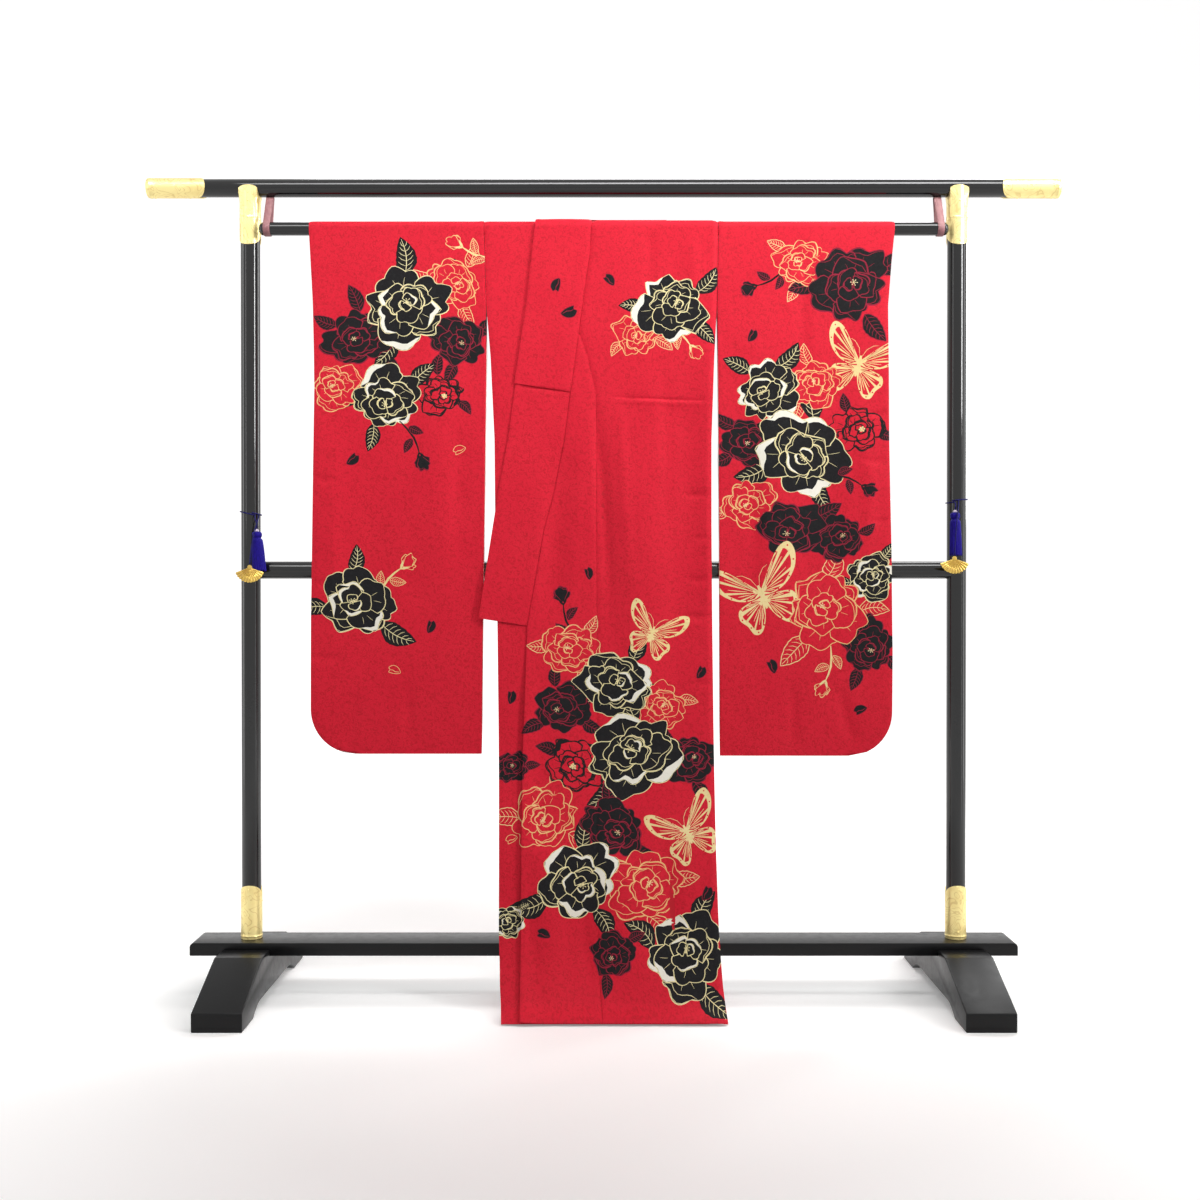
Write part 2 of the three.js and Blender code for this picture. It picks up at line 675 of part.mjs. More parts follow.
/**
 * One fall of hanging cloth, in front of the rod or behind it. It gives the point at x and height
 * that stands a distance off the fall. Above the rod's middle, height goes on round the rod.
 */
function fallOf({ hang, column, folds, closeness = () => 0 }) {
  const facing = column === "front" ? -1 : 1;
  const depthAt = (x, height) => {
    const own = curveThrough(hang, column, height);
    const closed = closeness(x, height);
    return closed === 0 ? own : mix(own, curveThrough(hang, "front", height) + seamGap(hang, height), closed);
  };
  return (x, height, off) => {
    if (height > ROD.height) {
      const turn = (height - ROD.height) / ROD.radius;
      const reach = (ROD.radius + off) / Math.cos(Math.PI / 4 / ROD_STEPS);
      return new THREE.Vector3(
        x, ROD.y + facing * reach * Math.cos(turn), ROD.height + reach * Math.sin(turn),
      );
    }
    const step = 2;
    const slope = (depthAt(x, height + step) - depthAt(x, height - step)) / (2 * step);
    const normal = new THREE.Vector2(facing, -facing * slope).normalize();
    const out = off + foldRise(folds, x, height);
    return new THREE.Vector3(x, depthAt(x, height) + normal.x * out, height + normal.y * out);
  };
}

/** The room that a closed edge keeps, measured along Y where the cloth slopes. */
function seamGap(hang, height) {
  const slope = (curveThrough(hang, "front", height + 2) - curveThrough(hang, "front", height - 2)) / 4;
  return (GAP + 0.1) * Math.hypot(1, slope);
}

/** The columns of a panel between two edges, closer together near the sewn one. */
function columnsFrom(sewnEdge, shares) {
  return sewnEdge === "first" ? shares : shares.map((share) => 1 - share).reverse();
}

/**
 * A panel of cloth: a wall between its first edge (-X) and its last edge (+X), both given by
 * height. liftAt gives how far its inner face stands off the fall. endRise slants the foot: it
 * raises the foot's first and last corners, and the rows above them less and less.
 */
function panel({
  fall, facing, rows, firstAt, lastAt, columns, liftAt, thickness = CLOTH, endRise = [0, 0],
}) {
  const foot = rows[0];
  const rings = rows.map((row) => {
    const face = (off) => columns.map((share) => {
      const rise = mix(endRise[0], endRise[1], share);
      const shrink = row > ROD.height ? 0 : (ROD.height - row) / (ROD.height - foot);
      const height = row + rise * shrink;
      const x = mix(firstAt(height) + GAP / 2, lastAt(height) - GAP / 2, share);
      return fall(x, height, liftAt(x, height) + off);
    });
    const [front, behind] = facing === "front" ? [face(thickness), face(0)] : [face(0), face(thickness)];
    return [...front, ...behind.reverse()];
  });
  return throughRings(rings);
}

/**
 * The run of a piece over the rod, from its front fall to its back fall. Each edge is given where
 * the piece leaves the front and where it reaches the back.
 */
function overRod({ first, last, columns, liftAt }) {
  const margin = GAP / 2 / ROD.radius;
  const facetReach = 1 / Math.cos(Math.PI / 4 / ROD_STEPS);
  const rings = Array.from({ length: 2 * ROD_STEPS + 1 }, (_, k) => {
    const share = k / (2 * ROD_STEPS);
    const turn = mix(margin, Math.PI - margin, share);
    const face = (off) => columns.map((column) => {
      const x = mix(mix(...first, share) + GAP / 2, mix(...last, share) - GAP / 2, column);
      const reach = (ROD.radius + liftAt(x, ROD.height) + off) * facetReach;
      return new THREE.Vector3(x, ROD.y - reach * Math.cos(turn), ROD.height + reach * Math.sin(turn));
    });
    return [...face(CLOTH), ...face(0).reverse()];
  });
  return throughRings(rings);
}

// ---------------------------------------------------------------------------------------------
// The body: backs, fronts, overlap panels and collar
// ---------------------------------------------------------------------------------------------

const sideAt = (side) => (height) => lookUp(BODY_SIDES, side, height);
const rightSide = sideAt("right");
const leftSide = sideAt("left");
const middle = (height) => (rightSide(height) + leftSide(height)) / 2;

/** An edge of a front, measured in from its own side. */
function frontEdge(side, table, column) {
  return side === "left"
    ? (height) => leftSide(height) - lookUp(table, column, height)
    : (height) => rightSide(height) + lookUp(table, column, height);
}

/** The back is closed to the fronts along both side seams, below the side opening. */
function backCloseness(x, height) {
  const fromSide = Math.min(x - rightSide(height), leftSide(height) - x);
  const sewn = 1 - smooth(SIDE_OPENING, ARMHOLE, height);
  return sewn * (1 - smooth(0, 45, fromSide));
}

const bodyFront = fallOf({ hang: BODY_HANG, column: "front", folds: BODY_FOLDS });
const bodyBack = fallOf({
  hang: BODY_HANG, column: "back", folds: BACK_FOLDS, closeness: backCloseness,
});

/** The upper front stands a ply off the rod where the under front lies beneath it. */
const upperLift = (x, height) => GAP + PLY * smooth(0, 12, leftSide(height) - x);
const underLift = () => GAP;

/** The left back starts level with the upper front, settles below, and is raised on the pleat. */
const leftBackLift = (x, height) => {
  const onFront = PLY * smooth(0, 12, leftSide(height) - x) * smooth(1440, ROD.height, height);
  const onPleat = (1 - smooth(PLEAT.settleFrom, PLEAT.settleTo, x - middle(height)))
    * (1 - smooth(PLEAT.runIn, PLEAT.level, height));
  return GAP + onFront + (CLOTH + LAID_ON) * onPleat;
};

/** The left back's edge, lapped over the right back along the pleat. */
const pleatEdge = (height) => middle(height) - PLEAT.lap * (1 - smooth(PLEAT.full, PLEAT.runIn, height));

function buildBody() {
  const shared = { rows: BODY_ROWS };
  addPiece("back_right", panel({
    ...shared, fall: bodyBack, facing: "back", firstAt: rightSide, lastAt: middle,
    columns: columnsFrom("first", PANEL_COLUMNS), liftAt: underLift,
  }), "crepe");
  addPiece("back_left", panel({
    ...shared, fall: bodyBack, facing: "back", firstAt: pleatEdge, lastAt: leftSide,
    columns: columnsFrom("last", PLEATED_COLUMNS), liftAt: leftBackLift,
  }), "crepe");

  const belowTip = BODY_ROWS.filter((height) => height <= OVERLAP_TIP);
  for (const side of ["right", "left"]) {
    const own = side === "right" ? rightSide : leftSide;
    const collarSeam = frontEdge(side, FRONT_CUT, "collarSeam");
    const overlapSeam = frontEdge(side, OVERLAP_SEAM, "across");
    const inner = (height) => (height > OVERLAP_TIP ? collarSeam(height) : overlapSeam(height));
    const liftAt = side === "right" ? underLift : upperLift;
    const common = { fall: bodyFront, facing: "front", liftAt };
    const inOrder = (near, far) => (
      side === "right" ? { firstAt: near, lastAt: far } : { firstAt: far, lastAt: near }
    );
    addPiece(`front_${side}`, panel({
      ...common, rows: BODY_ROWS, ...inOrder(own, inner),
      columns: columnsFrom(side === "right" ? "first" : "last", PANEL_COLUMNS),
    }), "crepe");
    const ownSide = Array(2).fill(own(ROD.height));
    const innerSide = [collarSeam(ROD.height), middle(ROD.height)];
    const [first, last] = side === "right" ? [ownSide, innerSide] : [innerSide, ownSide];
    addPiece(`shoulder_${side}`, overRod({
      first, last, liftAt, columns: columnsFrom(side === "right" ? "first" : "last", PANEL_COLUMNS),
    }), "crepe");
    addPiece(`overlap_${side}`, panel({
      ...common, rows: belowTip, ...inOrder(overlapSeam, collarSeam), columns: STRIP_COLUMNS,
    }), "crepe");
  }
}

function buildCollar() {
  const rowsFrom = (foot) => [foot, ...COLLAR_ROWS.filter((height) => height > foot)];
  const wideCollar = {
    fall: bodyFront,
    facing: "front",
    firstAt: frontEdge("left", FRONT_CUT, "collarFree"),
    lastAt: frontEdge("left", FRONT_CUT, "collarSeam"),
    columns: STRIP_COLUMNS,
  };
  addPiece("collar_left", panel({
    ...wideCollar,
    rows: rowsFrom(COLLAR_END.seamSide),
    liftAt: upperLift,
    endRise: [COLLAR_END.freeSide - COLLAR_END.seamSide, 0],
  }), "crepe");
  addPiece("over_collar", panel({
    ...wideCollar,
    rows: rowsFrom(OVER_COLLAR_END.seamSide),
    liftAt: (x, height) => upperLift(x, height) + CLOTH + LAID_ON,
    endRise: [OVER_COLLAR_END.freeSide - OVER_COLLAR_END.seamSide, 0],
  }), "crepe");

  const underSeam = frontEdge("right", FRONT_CUT, "collarSeam");
  addPiece("collar_right", panel({
    fall: bodyFront,
    facing: "front",
    rows: rowsFrom(COLLAR_END.seamSide),
    firstAt: underSeam,
    lastAt: (height) => underSeam(height) + FOLDED_COLLAR,
    columns: STRIP_COLUMNS,
    liftAt: underLift,
  }), "crepe");

  addPiece("collar_neck", neckBand(), "crepe");
}

/** The collar's run over the neck: a band with a round foot that lies on the backs. */
function neckBand() {
  const top = BODY_SIDES[0].height;
  const first = frontEdge("left", FRONT_CUT, "collarFree")(top);
  const halfWidth = middle(top) - first;
  const footAt = (x) => {
    const across = Math.min(1, Math.abs(x - middle(top)) / halfWidth);
    return mix(NECK.low, NECK.ends, 1 - Math.sqrt(1 - across ** 4));
  };
  const liftAt = (height) => GAP + PLY * smooth(1440, ROD.height, height) + CLOTH + LAID_ON;
  const ringAt = (heightAt) => {
    const face = (off) => NECK_COLUMNS.map((share) => {
      const x = first + 2 * halfWidth * share;
      return bodyBack(x, heightAt(x), liftAt(heightAt(x)) + off);
    });
    return [...face(0), ...face(CLOTH).reverse()];
  };
  return throughRings([
    ...NECK_RISES.map((share) => ringAt((x) => mix(footAt(x), ROD.height, share))),
    ...ROD_ROWS.map((height) => ringAt(() => height)),
  ]);
}

// ---------------------------------------------------------------------------------------------
// The sleeves
// ---------------------------------------------------------------------------------------------

function buildSleeve(side) {
  const { bottom, corner, edges } = SLEEVES[side];
  const towardsBody = side === "right" ? 1 : -1;
  const innerAt = (height) => lookUp(edges, "inner", height);
  const outerAt = (height) => {
    const intoCorner = Math.max(0, bottom + corner - height);
    const inset = corner - Math.sqrt(Math.max(0, corner ** 2 - intoCorner ** 2));
    return lookUp(edges, "outer", height) + towardsBody * inset;
  };
  const closeness = (x, height) => {
    const sewnOuter = 1 - smooth(CUFF, ARMHOLE, height);
    const fromOuter = Math.abs(x - outerAt(height));
    const outer = sewnOuter * (1 - smooth(0, 45, fromOuter));
    const foot = 1 - smooth(0, 70, height - bottom);
    return Math.max(outer, foot);
  };
  const folds = SLEEVE_FOLDS[side];
  const front = fallOf({ hang: SLEEVE_HANG, column: "front", folds });
  const back = fallOf({ hang: SLEEVE_HANG, column: "back", folds: [], closeness });
  const bagRows = [...SLEEVE_RISES.map((rise) => bottom + rise), ARMHOLE - GAP / 2];
  const cuffRows = [ARMHOLE + GAP / 2, 1453, 1506, FALL_TOP];
  const columns = columnsFrom(side === "right" ? "first" : "last", PANEL_COLUMNS);
  const [firstAt, lastAt] = side === "right" ? [outerAt, innerAt] : [innerAt, outerAt];
  const span = { firstAt, lastAt, columns };
  for (const [name, rows] of [["sleeve", bagRows], ["cuff", cuffRows]]) {
    addPiece(`${name}_${side}_front`, panel({
      ...span, fall: front, facing: "front", rows, liftAt: underLift,
    }), "crepe");
    addPiece(`${name}_${side}_back`, panel({
      ...span, fall: back, facing: "back", rows, liftAt: underLift,
    }), "crepe");
  }
  const edge = (edgeAt) => Array(2).fill(edgeAt(ROD.height));
  addPiece(`sleeve_${side}_top`, overRod({
    first: edge(firstAt), last: edge(lastAt), columns, liftAt: underLift,
  }), "crepe");

  // The lining shows as a pale line where it stands out of the open inner edge.
  const showing = (height) => innerAt(height) + towardsBody * LINING.showing;
  const hidden = (height) => innerAt(height) - towardsBody * LINING.hidden;
  addPiece(`sleeve_${side}_lining`, panel({
    fall: front,
    facing: "front",
    rows: [LINING.low, 1000, 1150, 1250, LINING.high],
    firstAt: side === "right" ? hidden : showing,
    lastAt: side === "right" ? showing : hidden,
    columns: [0, 1],
    liftAt: () => GAP - LAID_ON - LINING.thickness,
    thickness: LINING.thickness,
  }), "lining");
}

buildStand();
buildHangings();
buildBody();
buildCollar();
buildSleeve("right");
buildSleeve("left");

export default part;
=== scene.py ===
import math
import random

import bmesh
import bpy
import numpy as np
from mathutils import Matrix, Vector
from mathutils.geometry import delaunay_2d_cdt


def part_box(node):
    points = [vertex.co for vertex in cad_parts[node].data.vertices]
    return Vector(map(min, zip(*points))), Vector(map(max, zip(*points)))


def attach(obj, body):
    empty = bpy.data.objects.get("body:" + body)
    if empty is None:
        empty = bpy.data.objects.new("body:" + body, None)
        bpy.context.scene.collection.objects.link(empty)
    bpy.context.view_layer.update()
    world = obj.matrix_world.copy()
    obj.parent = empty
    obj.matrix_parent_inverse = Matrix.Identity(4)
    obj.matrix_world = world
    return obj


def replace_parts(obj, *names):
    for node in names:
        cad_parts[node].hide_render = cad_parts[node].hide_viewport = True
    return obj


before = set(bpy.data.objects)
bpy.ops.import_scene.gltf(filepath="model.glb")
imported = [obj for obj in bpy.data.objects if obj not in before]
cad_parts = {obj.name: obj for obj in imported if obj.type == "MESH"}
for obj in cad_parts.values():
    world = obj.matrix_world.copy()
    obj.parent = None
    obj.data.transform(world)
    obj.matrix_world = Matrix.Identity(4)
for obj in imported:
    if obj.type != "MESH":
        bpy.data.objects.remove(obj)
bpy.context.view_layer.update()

# --------------------------------------------------------------------------------------------------
# The room: a pale floor that sweeps up into a wall, a white sky of light, wide lamps high in front
# and behind, and tall lamps at the sides, which draw the bright lines down the black lacquer.
# --------------------------------------------------------------------------------------------------

scene = bpy.context.scene
scene.view_settings.view_transform = "Standard"

EYE = (-0.0076, -2.700, 0.826)
EYE_TILT = 90 - 0.43
SKY_WHITE = (1, 0.995, 0.985, 1)
SKY_SEEN, SKY_LIT = 0.97, 0.19  # how bright the sky looks, and how much light it gives

camera = bpy.data.objects.new("room_camera", bpy.data.cameras.new("room_camera"))
camera.data.lens = 39.5
camera.data.sensor_width = 36
camera.location = EYE
camera.rotation_euler = (math.radians(EYE_TILT), 0, 0)
scene.collection.objects.link(camera)
scene.camera = camera


def hang_lamp(name, place, towards, size, power, spread=180):
    """A soft rectangular lamp that faces a point; spread is the angle that its light fans out."""
    lamp = bpy.data.lights.new(name, "AREA")
    lamp.shape = "RECTANGLE"
    lamp.size, lamp.size_y = size
    lamp.energy = power
    lamp.spread = math.radians(spread)
    holder = bpy.data.objects.new(name, lamp)
    holder.location = place
    holder.rotation_euler = (Vector(towards) - Vector(place)).to_track_quat("-Z", "Y").to_euler()
    holder.visible_camera = False
    scene.collection.objects.link(holder)


hang_lamp("lamp_high_front", (0.2, -0.95, 2.70), (0, -0.08, 1.55), (3.0, 0.5), 12.8, spread=80)
hang_lamp("lamp_left_front", (2.3, -1.5, 2.2), (-0.1, 0, 1.45), (0.35, 1.5), 13, spread=90)
hang_lamp("lamp_left_strip", (2.5, -1.3, 1.3), (0.0, 0, 1.1), (0.10, 3.2), 5)
hang_lamp("lamp_right_front", (-2.3, -1.7, 1.9), (0.3, 0, 1.15), (0.25, 1.7), 5)
hang_lamp("lamp_right_side", (-3.4, -0.3, 1.3), (-0.7, 0, 0.9), (0.7, 2.6), 17)
hang_lamp("lamp_left_side", (3.4, -0.3, 1.3), (0.7, 0, 0.9), (0.7, 2.6), 17)
hang_lamp("lamp_high_back", (0.4, 1.3, 2.8), (0, 0, 1.1), (3.0, 0.5), 34)
hang_lamp("lamp_left_back", (2.2, 1.5, 1.9), (-0.1, 0, 1.0), (0.4, 1.7), 22)


def join(tree, value, socket):
    """Links a socket to the one that feeds it, or sets it to a plain value."""
    if isinstance(value, bpy.types.NodeSocket):
        tree.links.new(value, socket)
    else:
        socket.default_value = value


def feed(tree, made, **settings):
    """Gives a node its settings and its inputs; an input is named with _ for each space."""
    for key, value in settings.items():
        socket = made.inputs.get(key.replace("_", " "))
        if socket is None:
            setattr(made, key, value)
        else:
            join(tree, value, socket)
    return made


def node(tree, kind, **settings):
    return feed(tree, tree.nodes.new("ShaderNode" + kind), **settings)


def remap(tree, value, low, high, to_low=0.0, to_high=1.0):
    """A value taken from one range to another, held at the ends."""
    return node(tree, "MapRange", Value=value, From_Min=low, From_Max=high, To_Min=to_low,
                To_Max=to_high).outputs["Result"]


def blend_colours(tree, share, first, second):
    """One colour turning into another; each is three numbers or a socket."""
    made = node(tree, "Mix", data_type="RGBA", Factor=share)
    for socket, colour in zip(made.inputs[6:8], (first, second)):
        join(tree, (*colour, 1) if isinstance(colour, tuple) else colour, socket)
    return made.outputs[2]


def material(name):
    """A new node material, with its tree and its Principled shader."""
    made = bpy.data.materials.new(name)
    made.use_nodes = True
    return made, made.node_tree, made.node_tree.nodes["Principled BSDF"]


def show_mesh(name, points, faces, finish):
    """A smooth mesh in one finish, put into the scene."""
    mesh = bpy.data.meshes.new(name)
    mesh.from_pydata([tuple(p) for p in points], [], faces)
    mesh.validate()
    mesh.shade_smooth()
    mesh.materials.append(finish)
    shown = bpy.data.objects.new(name, mesh)
    scene.collection.objects.link(shown)
    return shown


def light_sky():
    sky = bpy.data.worlds.new("room_sky")
    sky.use_nodes = True
    tree = sky.node_tree
    lighting = node(tree, "LightPath").outputs["Is Diffuse Ray"]
    feed(tree, tree.nodes["Background"], Color=SKY_WHITE,
         Strength=remap(tree, lighting, 0, 1, SKY_SEEN, SKY_LIT))
    scene.world = sky


def pale_floor_paint():
    """White paint that throws less light back than it shows, and looks lit by itself far off."""
    paint, tree, shader = material("pale_floor")
    lighting = node(tree, "LightPath").outputs["Is Diffuse Ray"]
    place = node(tree, "NewGeometry").outputs["Position"]
    away = node(tree, "VectorMath", operation="LENGTH", Vector=place).outputs["Value"]
    glow = remap(tree, away, 0.9, 2.4, 0.22, 0.72)
    feed(tree, shader, Roughness=0.55, Specular_IOR_Level=0.3, Emission_Strength=1.0,
         Base_Color=blend_colours(tree, lighting, (0.92, 0.915, 0.905), (0.42, 0.42, 0.42)),
         Emission_Color=remap(tree, lighting, 0, 1, glow, 0.10))
    return paint


def build_floor():
    near_end, wall_at, radius, wall_top, half_width = -6.0, 3.9, 0.9, 5.0, 7.0
    profile = [(near_end, 0.0)]
    for a in np.linspace(0, math.pi / 2, 24):
        profile.append((wall_at - radius + radius * math.sin(a), radius - radius * math.cos(a)))
    profile.append((wall_at, wall_top))
    points = [(x, y, z) for y, z in profile for x in (-half_width, half_width)]
    faces = [(2 * i, 2 * i + 1, 2 * i + 3, 2 * i + 2) for i in range(len(profile) - 1)]
    show_mesh("room_floor", points, faces, pale_floor_paint())


light_sky()
build_floor()

# --------------------------------------------------------------------------------------------------
# The stand's black wood: two rails, two posts, the long board and the two feet. They are turned or
# planed wood under many coats of black lacquer, polished, with their edges barely rounded. The
# posts are tenoned through the board, and the board is let into a notch in each foot.
# --------------------------------------------------------------------------------------------------

SIDES = 96  # sides of a turned bar
CLEAR = 0.0003  # room between pieces that touch

rail_low, rail_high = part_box("top_rail")
RAIL_Z, RAIL_RADIUS = (rail_low.z + rail_high.z) / 2, (rail_high.z - rail_low.z) / 2
mid_low, mid_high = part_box("mid_rail")
post_low, post_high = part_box("post_left")
POST_X, POST_RADIUS = (post_low.x + post_high.x) / 2, (post_high.x - post_low.x) / 2
BOTH_POSTS = (("right", -POST_X), ("left", POST_X))
board_low, board_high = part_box("base_board")
foot_low, foot_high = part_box("foot_left")


def full_turn(sides):
    return np.linspace(0, 2 * np.pi, sides, endpoint=False)


def ring(radius, height, sides=SIDES):
    """A ring of points round the upright; radius and height may change from point to point."""
    turn = full_turn(sides)
    return np.stack([radius * np.sin(turn), -radius * np.cos(turn), height + 0 * turn], 1)


def along_x(rings):
    """Rings round the upright laid down along X."""
    return np.asarray(rings)[..., [2, 0, 1]]


def add_piece(name, points, faces, finish, slot, sharp=38):
    """A named piece of the object, smooth but for its edges sharper than an angle."""
    piece = show_mesh(name, points, faces, finish)
    if sharp:
        piece.data.set_sharp_from_angle(angle=math.radians(sharp))
    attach(piece, "root")
    return piece


def body_through(rings, loop=False):
    """Points and faces of a closed body through rings; it closes across its ends, or in a loop."""
    rings = np.asarray(rings, float)
    count, sides = rings.shape[:2]
    faces = [
        (i * sides + j, i * sides + (j + 1) % sides,
         (i + 1) % count * sides + (j + 1) % sides, (i + 1) % count * sides + j)
        for i in range(count if loop else count - 1) for j in range(sides)
    ]
    if not loop:
        faces.append(tuple(range(sides))[::-1])
        faces.append(tuple(range((count - 1) * sides, count * sides)))
    return rings.reshape(-1, 3), faces


def joined(bodies):
    """Several bodies' points and faces as one."""
    points, faces, start = [], [], 0
    for some_points, some_faces in bodies:
        points.append(np.asarray(some_points, float))
        faces += [tuple(start + i for i in face) for face in some_faces]
        start += len(some_points)
    return np.concatenate(points), faces


def effect_group(name, **values):
    """A node group that is fed a place and named values; returns it and what feeds it inside."""
    group = bpy.data.node_groups.new(name, "ShaderNodeTree")
    group.interface.new_socket("Place", in_out="INPUT", socket_type="NodeSocketVector")
    for label, value in values.items():
        socket = group.interface.new_socket(label, in_out="INPUT", socket_type="NodeSocketFloat")
        socket.default_value = value
    return group, group.nodes.new("NodeGroupInput").outputs


def puts_out(group, **masks):
    """Gives a group its named outputs."""
    for label in masks:
        group.interface.new_socket(label, in_out="OUTPUT", socket_type="NodeSocketFloat")
    return feed(group, group.nodes.new("NodeGroupOutput"), **masks)


def place_group(tree, group, place=None, **values):
    """The outputs of a group placed in a material, fed with the piece's own coordinates."""
    place = place or node(tree, "TexCoord").outputs["Object"]
    return node(tree, "Group", node_tree=group, Place=place, **values).outputs


def noise(tree, place, scale, detail, rough=0.5, warp=0.0):
    return node(tree, "TexNoise", Vector=place, Scale=scale, Detail=detail, Roughness=rough,
                Distortion=warp).outputs["Fac"]


def cells(tree, place, scale, uneven=1.0):
    return node(tree, "TexVoronoi", Vector=place, Scale=scale, Randomness=uneven).outputs["Distance"]


def bump(tree, height, depth):
    return node(tree, "Bump", Height=height, Distance=depth).outputs["Normal"]


def calculate(tree, operation, first, *others):
    """Math on sockets and numbers; each further one is taken with what came before it."""
    for other in others or (0.5,):
        step = node(tree, "Math", operation=operation)
        join(tree, first, step.inputs[0])
        join(tree, other, step.inputs[1])
        first = step.outputs[0]
    return first


def lacquer_skin_group():
    """Brushed lacquer: a slow swell, a finer orange peel, dust that settled in it, and rub marks."""
    group, fed = effect_group("lacquer_skin", Dust=0.5, Rubbing=0.5)
    place = fed["Place"]
    swell, peel = noise(group, place, 24.0, 2.0), noise(group, place, 260.0, 2.0)
    speck = remap(group, cells(group, place, 170.0), 0.10, 0.03)
    settled = remap(group, noise(group, place, 7.0, 5.0, 0.6), 0.45, 0.7)
    rubbed = remap(group, noise(group, place, 55.0, 6.0, 0.7), 0.45, 0.8)
    puts_out(group, Height=calculate(group, "ADD", swell, calculate(group, "MULTIPLY", peel, 0.18)),
             Dust=calculate(group, "MULTIPLY", speck, settled, fed["Dust"]),
             Dulling=calculate(group, "MULTIPLY", rubbed, fed["Rubbing"]))
    return group


LACQUER_SKIN = lacquer_skin_group()


def black_lacquer(name, dust, rubbing, swell, polish, gloss):
    black, dusty = (0.0045, 0.0045, 0.005), (0.11, 0.105, 0.10)
    paint, tree, shader = material(name)
    skin = place_group(tree, LACQUER_SKIN, Dust=dust, Rubbing=rubbing)
    feed(tree, shader, IOR=gloss, Base_Color=blend_colours(tree, skin["Dust"], black, dusty),
         Roughness=remap(tree, skin["Dulling"], 0, 1, polish, polish + 0.2),
         Normal=bump(tree, skin["Height"], swell))
    return paint


turned_lacquer = black_lacquer("lacquer_on_turned_wood", 0.35, 0.35, 0.00022, 0.09, 1.51)
planed_lacquer = black_lacquer("lacquer_on_planed_wood", 0.7, 0.6, 0.00016, 0.28, 1.30)


def saddle(y, radius, height):
    """Height of the hollow that a round bar along X leaves in what stands under it."""
    return height - np.sqrt(np.maximum(0, (radius + CLEAR) ** 2 - y ** 2))


def add_turned(name, rings, cad):
    """A closed turned piece in polished lacquer, in the place of a solid of the frame."""
    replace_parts(add_piece(name, *body_through(rings), turned_lacquer, "black_lacquer"), cad)


def build_rails():
    edge, half = 0.0012, rail_high.x
    end = [(RAIL_RADIUS - edge, half), (RAIL_RADIUS - 0.3 * edge, half - 0.3 * edge),
           (RAIL_RADIUS, half - edge)]
    profile = [(radius, -x) for radius, x in end]
    profile += [(RAIL_RADIUS, x) for x in np.linspace(edge - half, half - edge, 9)[1:-1]] + end[::-1]
    rail = along_x([ring(radius, x) for radius, x in profile])
    add_turned("rail_top", rail + (0, 0, RAIL_Z), "top_rail")

    radius = (mid_high.z - mid_low.z) / 2
    let_in = POST_X - np.sqrt((POST_RADIUS + CLEAR) ** 2 - ring(radius, 0.0)[:, 0] ** 2)
    middle = along_x([ring(radius, let_in * share) for share in np.linspace(-1, 1, 11)])
    add_turned("rail_middle", middle + (0, 0, (mid_low.z + mid_high.z) / 2), "mid_rail")


def build_posts():
    foot_at, edge, top_of_straight = board_high.z + CLEAR, 0.0006, RAIL_Z - 0.04
    rings = [ring(POST_RADIUS - edge, foot_at), ring(POST_RADIUS, foot_at + edge)]
    rings += [ring(POST_RADIUS, z) for z in np.linspace(foot_at, top_of_straight, 9)[1:]]
    for share in (1.0, 0.985, 0.8, 0.55, 0.3, 0.05):
        flat = ring(POST_RADIUS * share, 0.0)
        rings.append(ring(POST_RADIUS * share, saddle(flat[:, 1], RAIL_RADIUS, RAIL_Z)))
    for side, x in BOTH_POSTS:
        add_turned(f"post_of_{side}_side", np.asarray(rings) + (x, 0, 0), f"post_{side}")


def planed_block(name, outline, across, axes, edge, steps=3):
    """A planed block: an outline given depth across, with its edges rounded over."""
    block = bmesh.new()
    points, faces = body_through([[[(u, v, depth)[i] for i in axes] for u, v in outline]
                                  for depth in across])
    corners = [block.verts.new(p) for p in points]
    for face in faces:
        block.faces.new([corners[i] for i in face])
    bmesh.ops.recalc_face_normals(block, faces=block.faces)
    edges = [e for e in block.edges if e.calc_face_angle(0) > math.radians(20)]
    bmesh.ops.bevel(block, geom=edges, offset=edge, segments=steps, profile=0.5, affect="EDGES",
                    clamp_overlap=True)
    block.verts.index_update()
    points = [tuple(corner.co) for corner in block.verts]
    faces = [[corner.index for corner in face.verts] for face in block.faces]
    block.free()
    return add_piece(name, points, faces, planed_lacquer, "black_lacquer")


def build_board():
    corner = 0.009
    low, high, far = board_low.z, board_high.z, board_high.x
    round_end = [(far - corner + corner * math.cos(a), high - corner + corner * math.sin(a))
                 for a in np.linspace(0, math.pi / 2, 7)]
    outline = [(-far, low), (far, low)] + round_end + [(-x, z) for x, z in round_end[::-1]]
    board = planed_block("long_board", outline, (board_low.y, board_high.y), (0, 2, 1), 0.0015)
    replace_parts(board, "base_board")


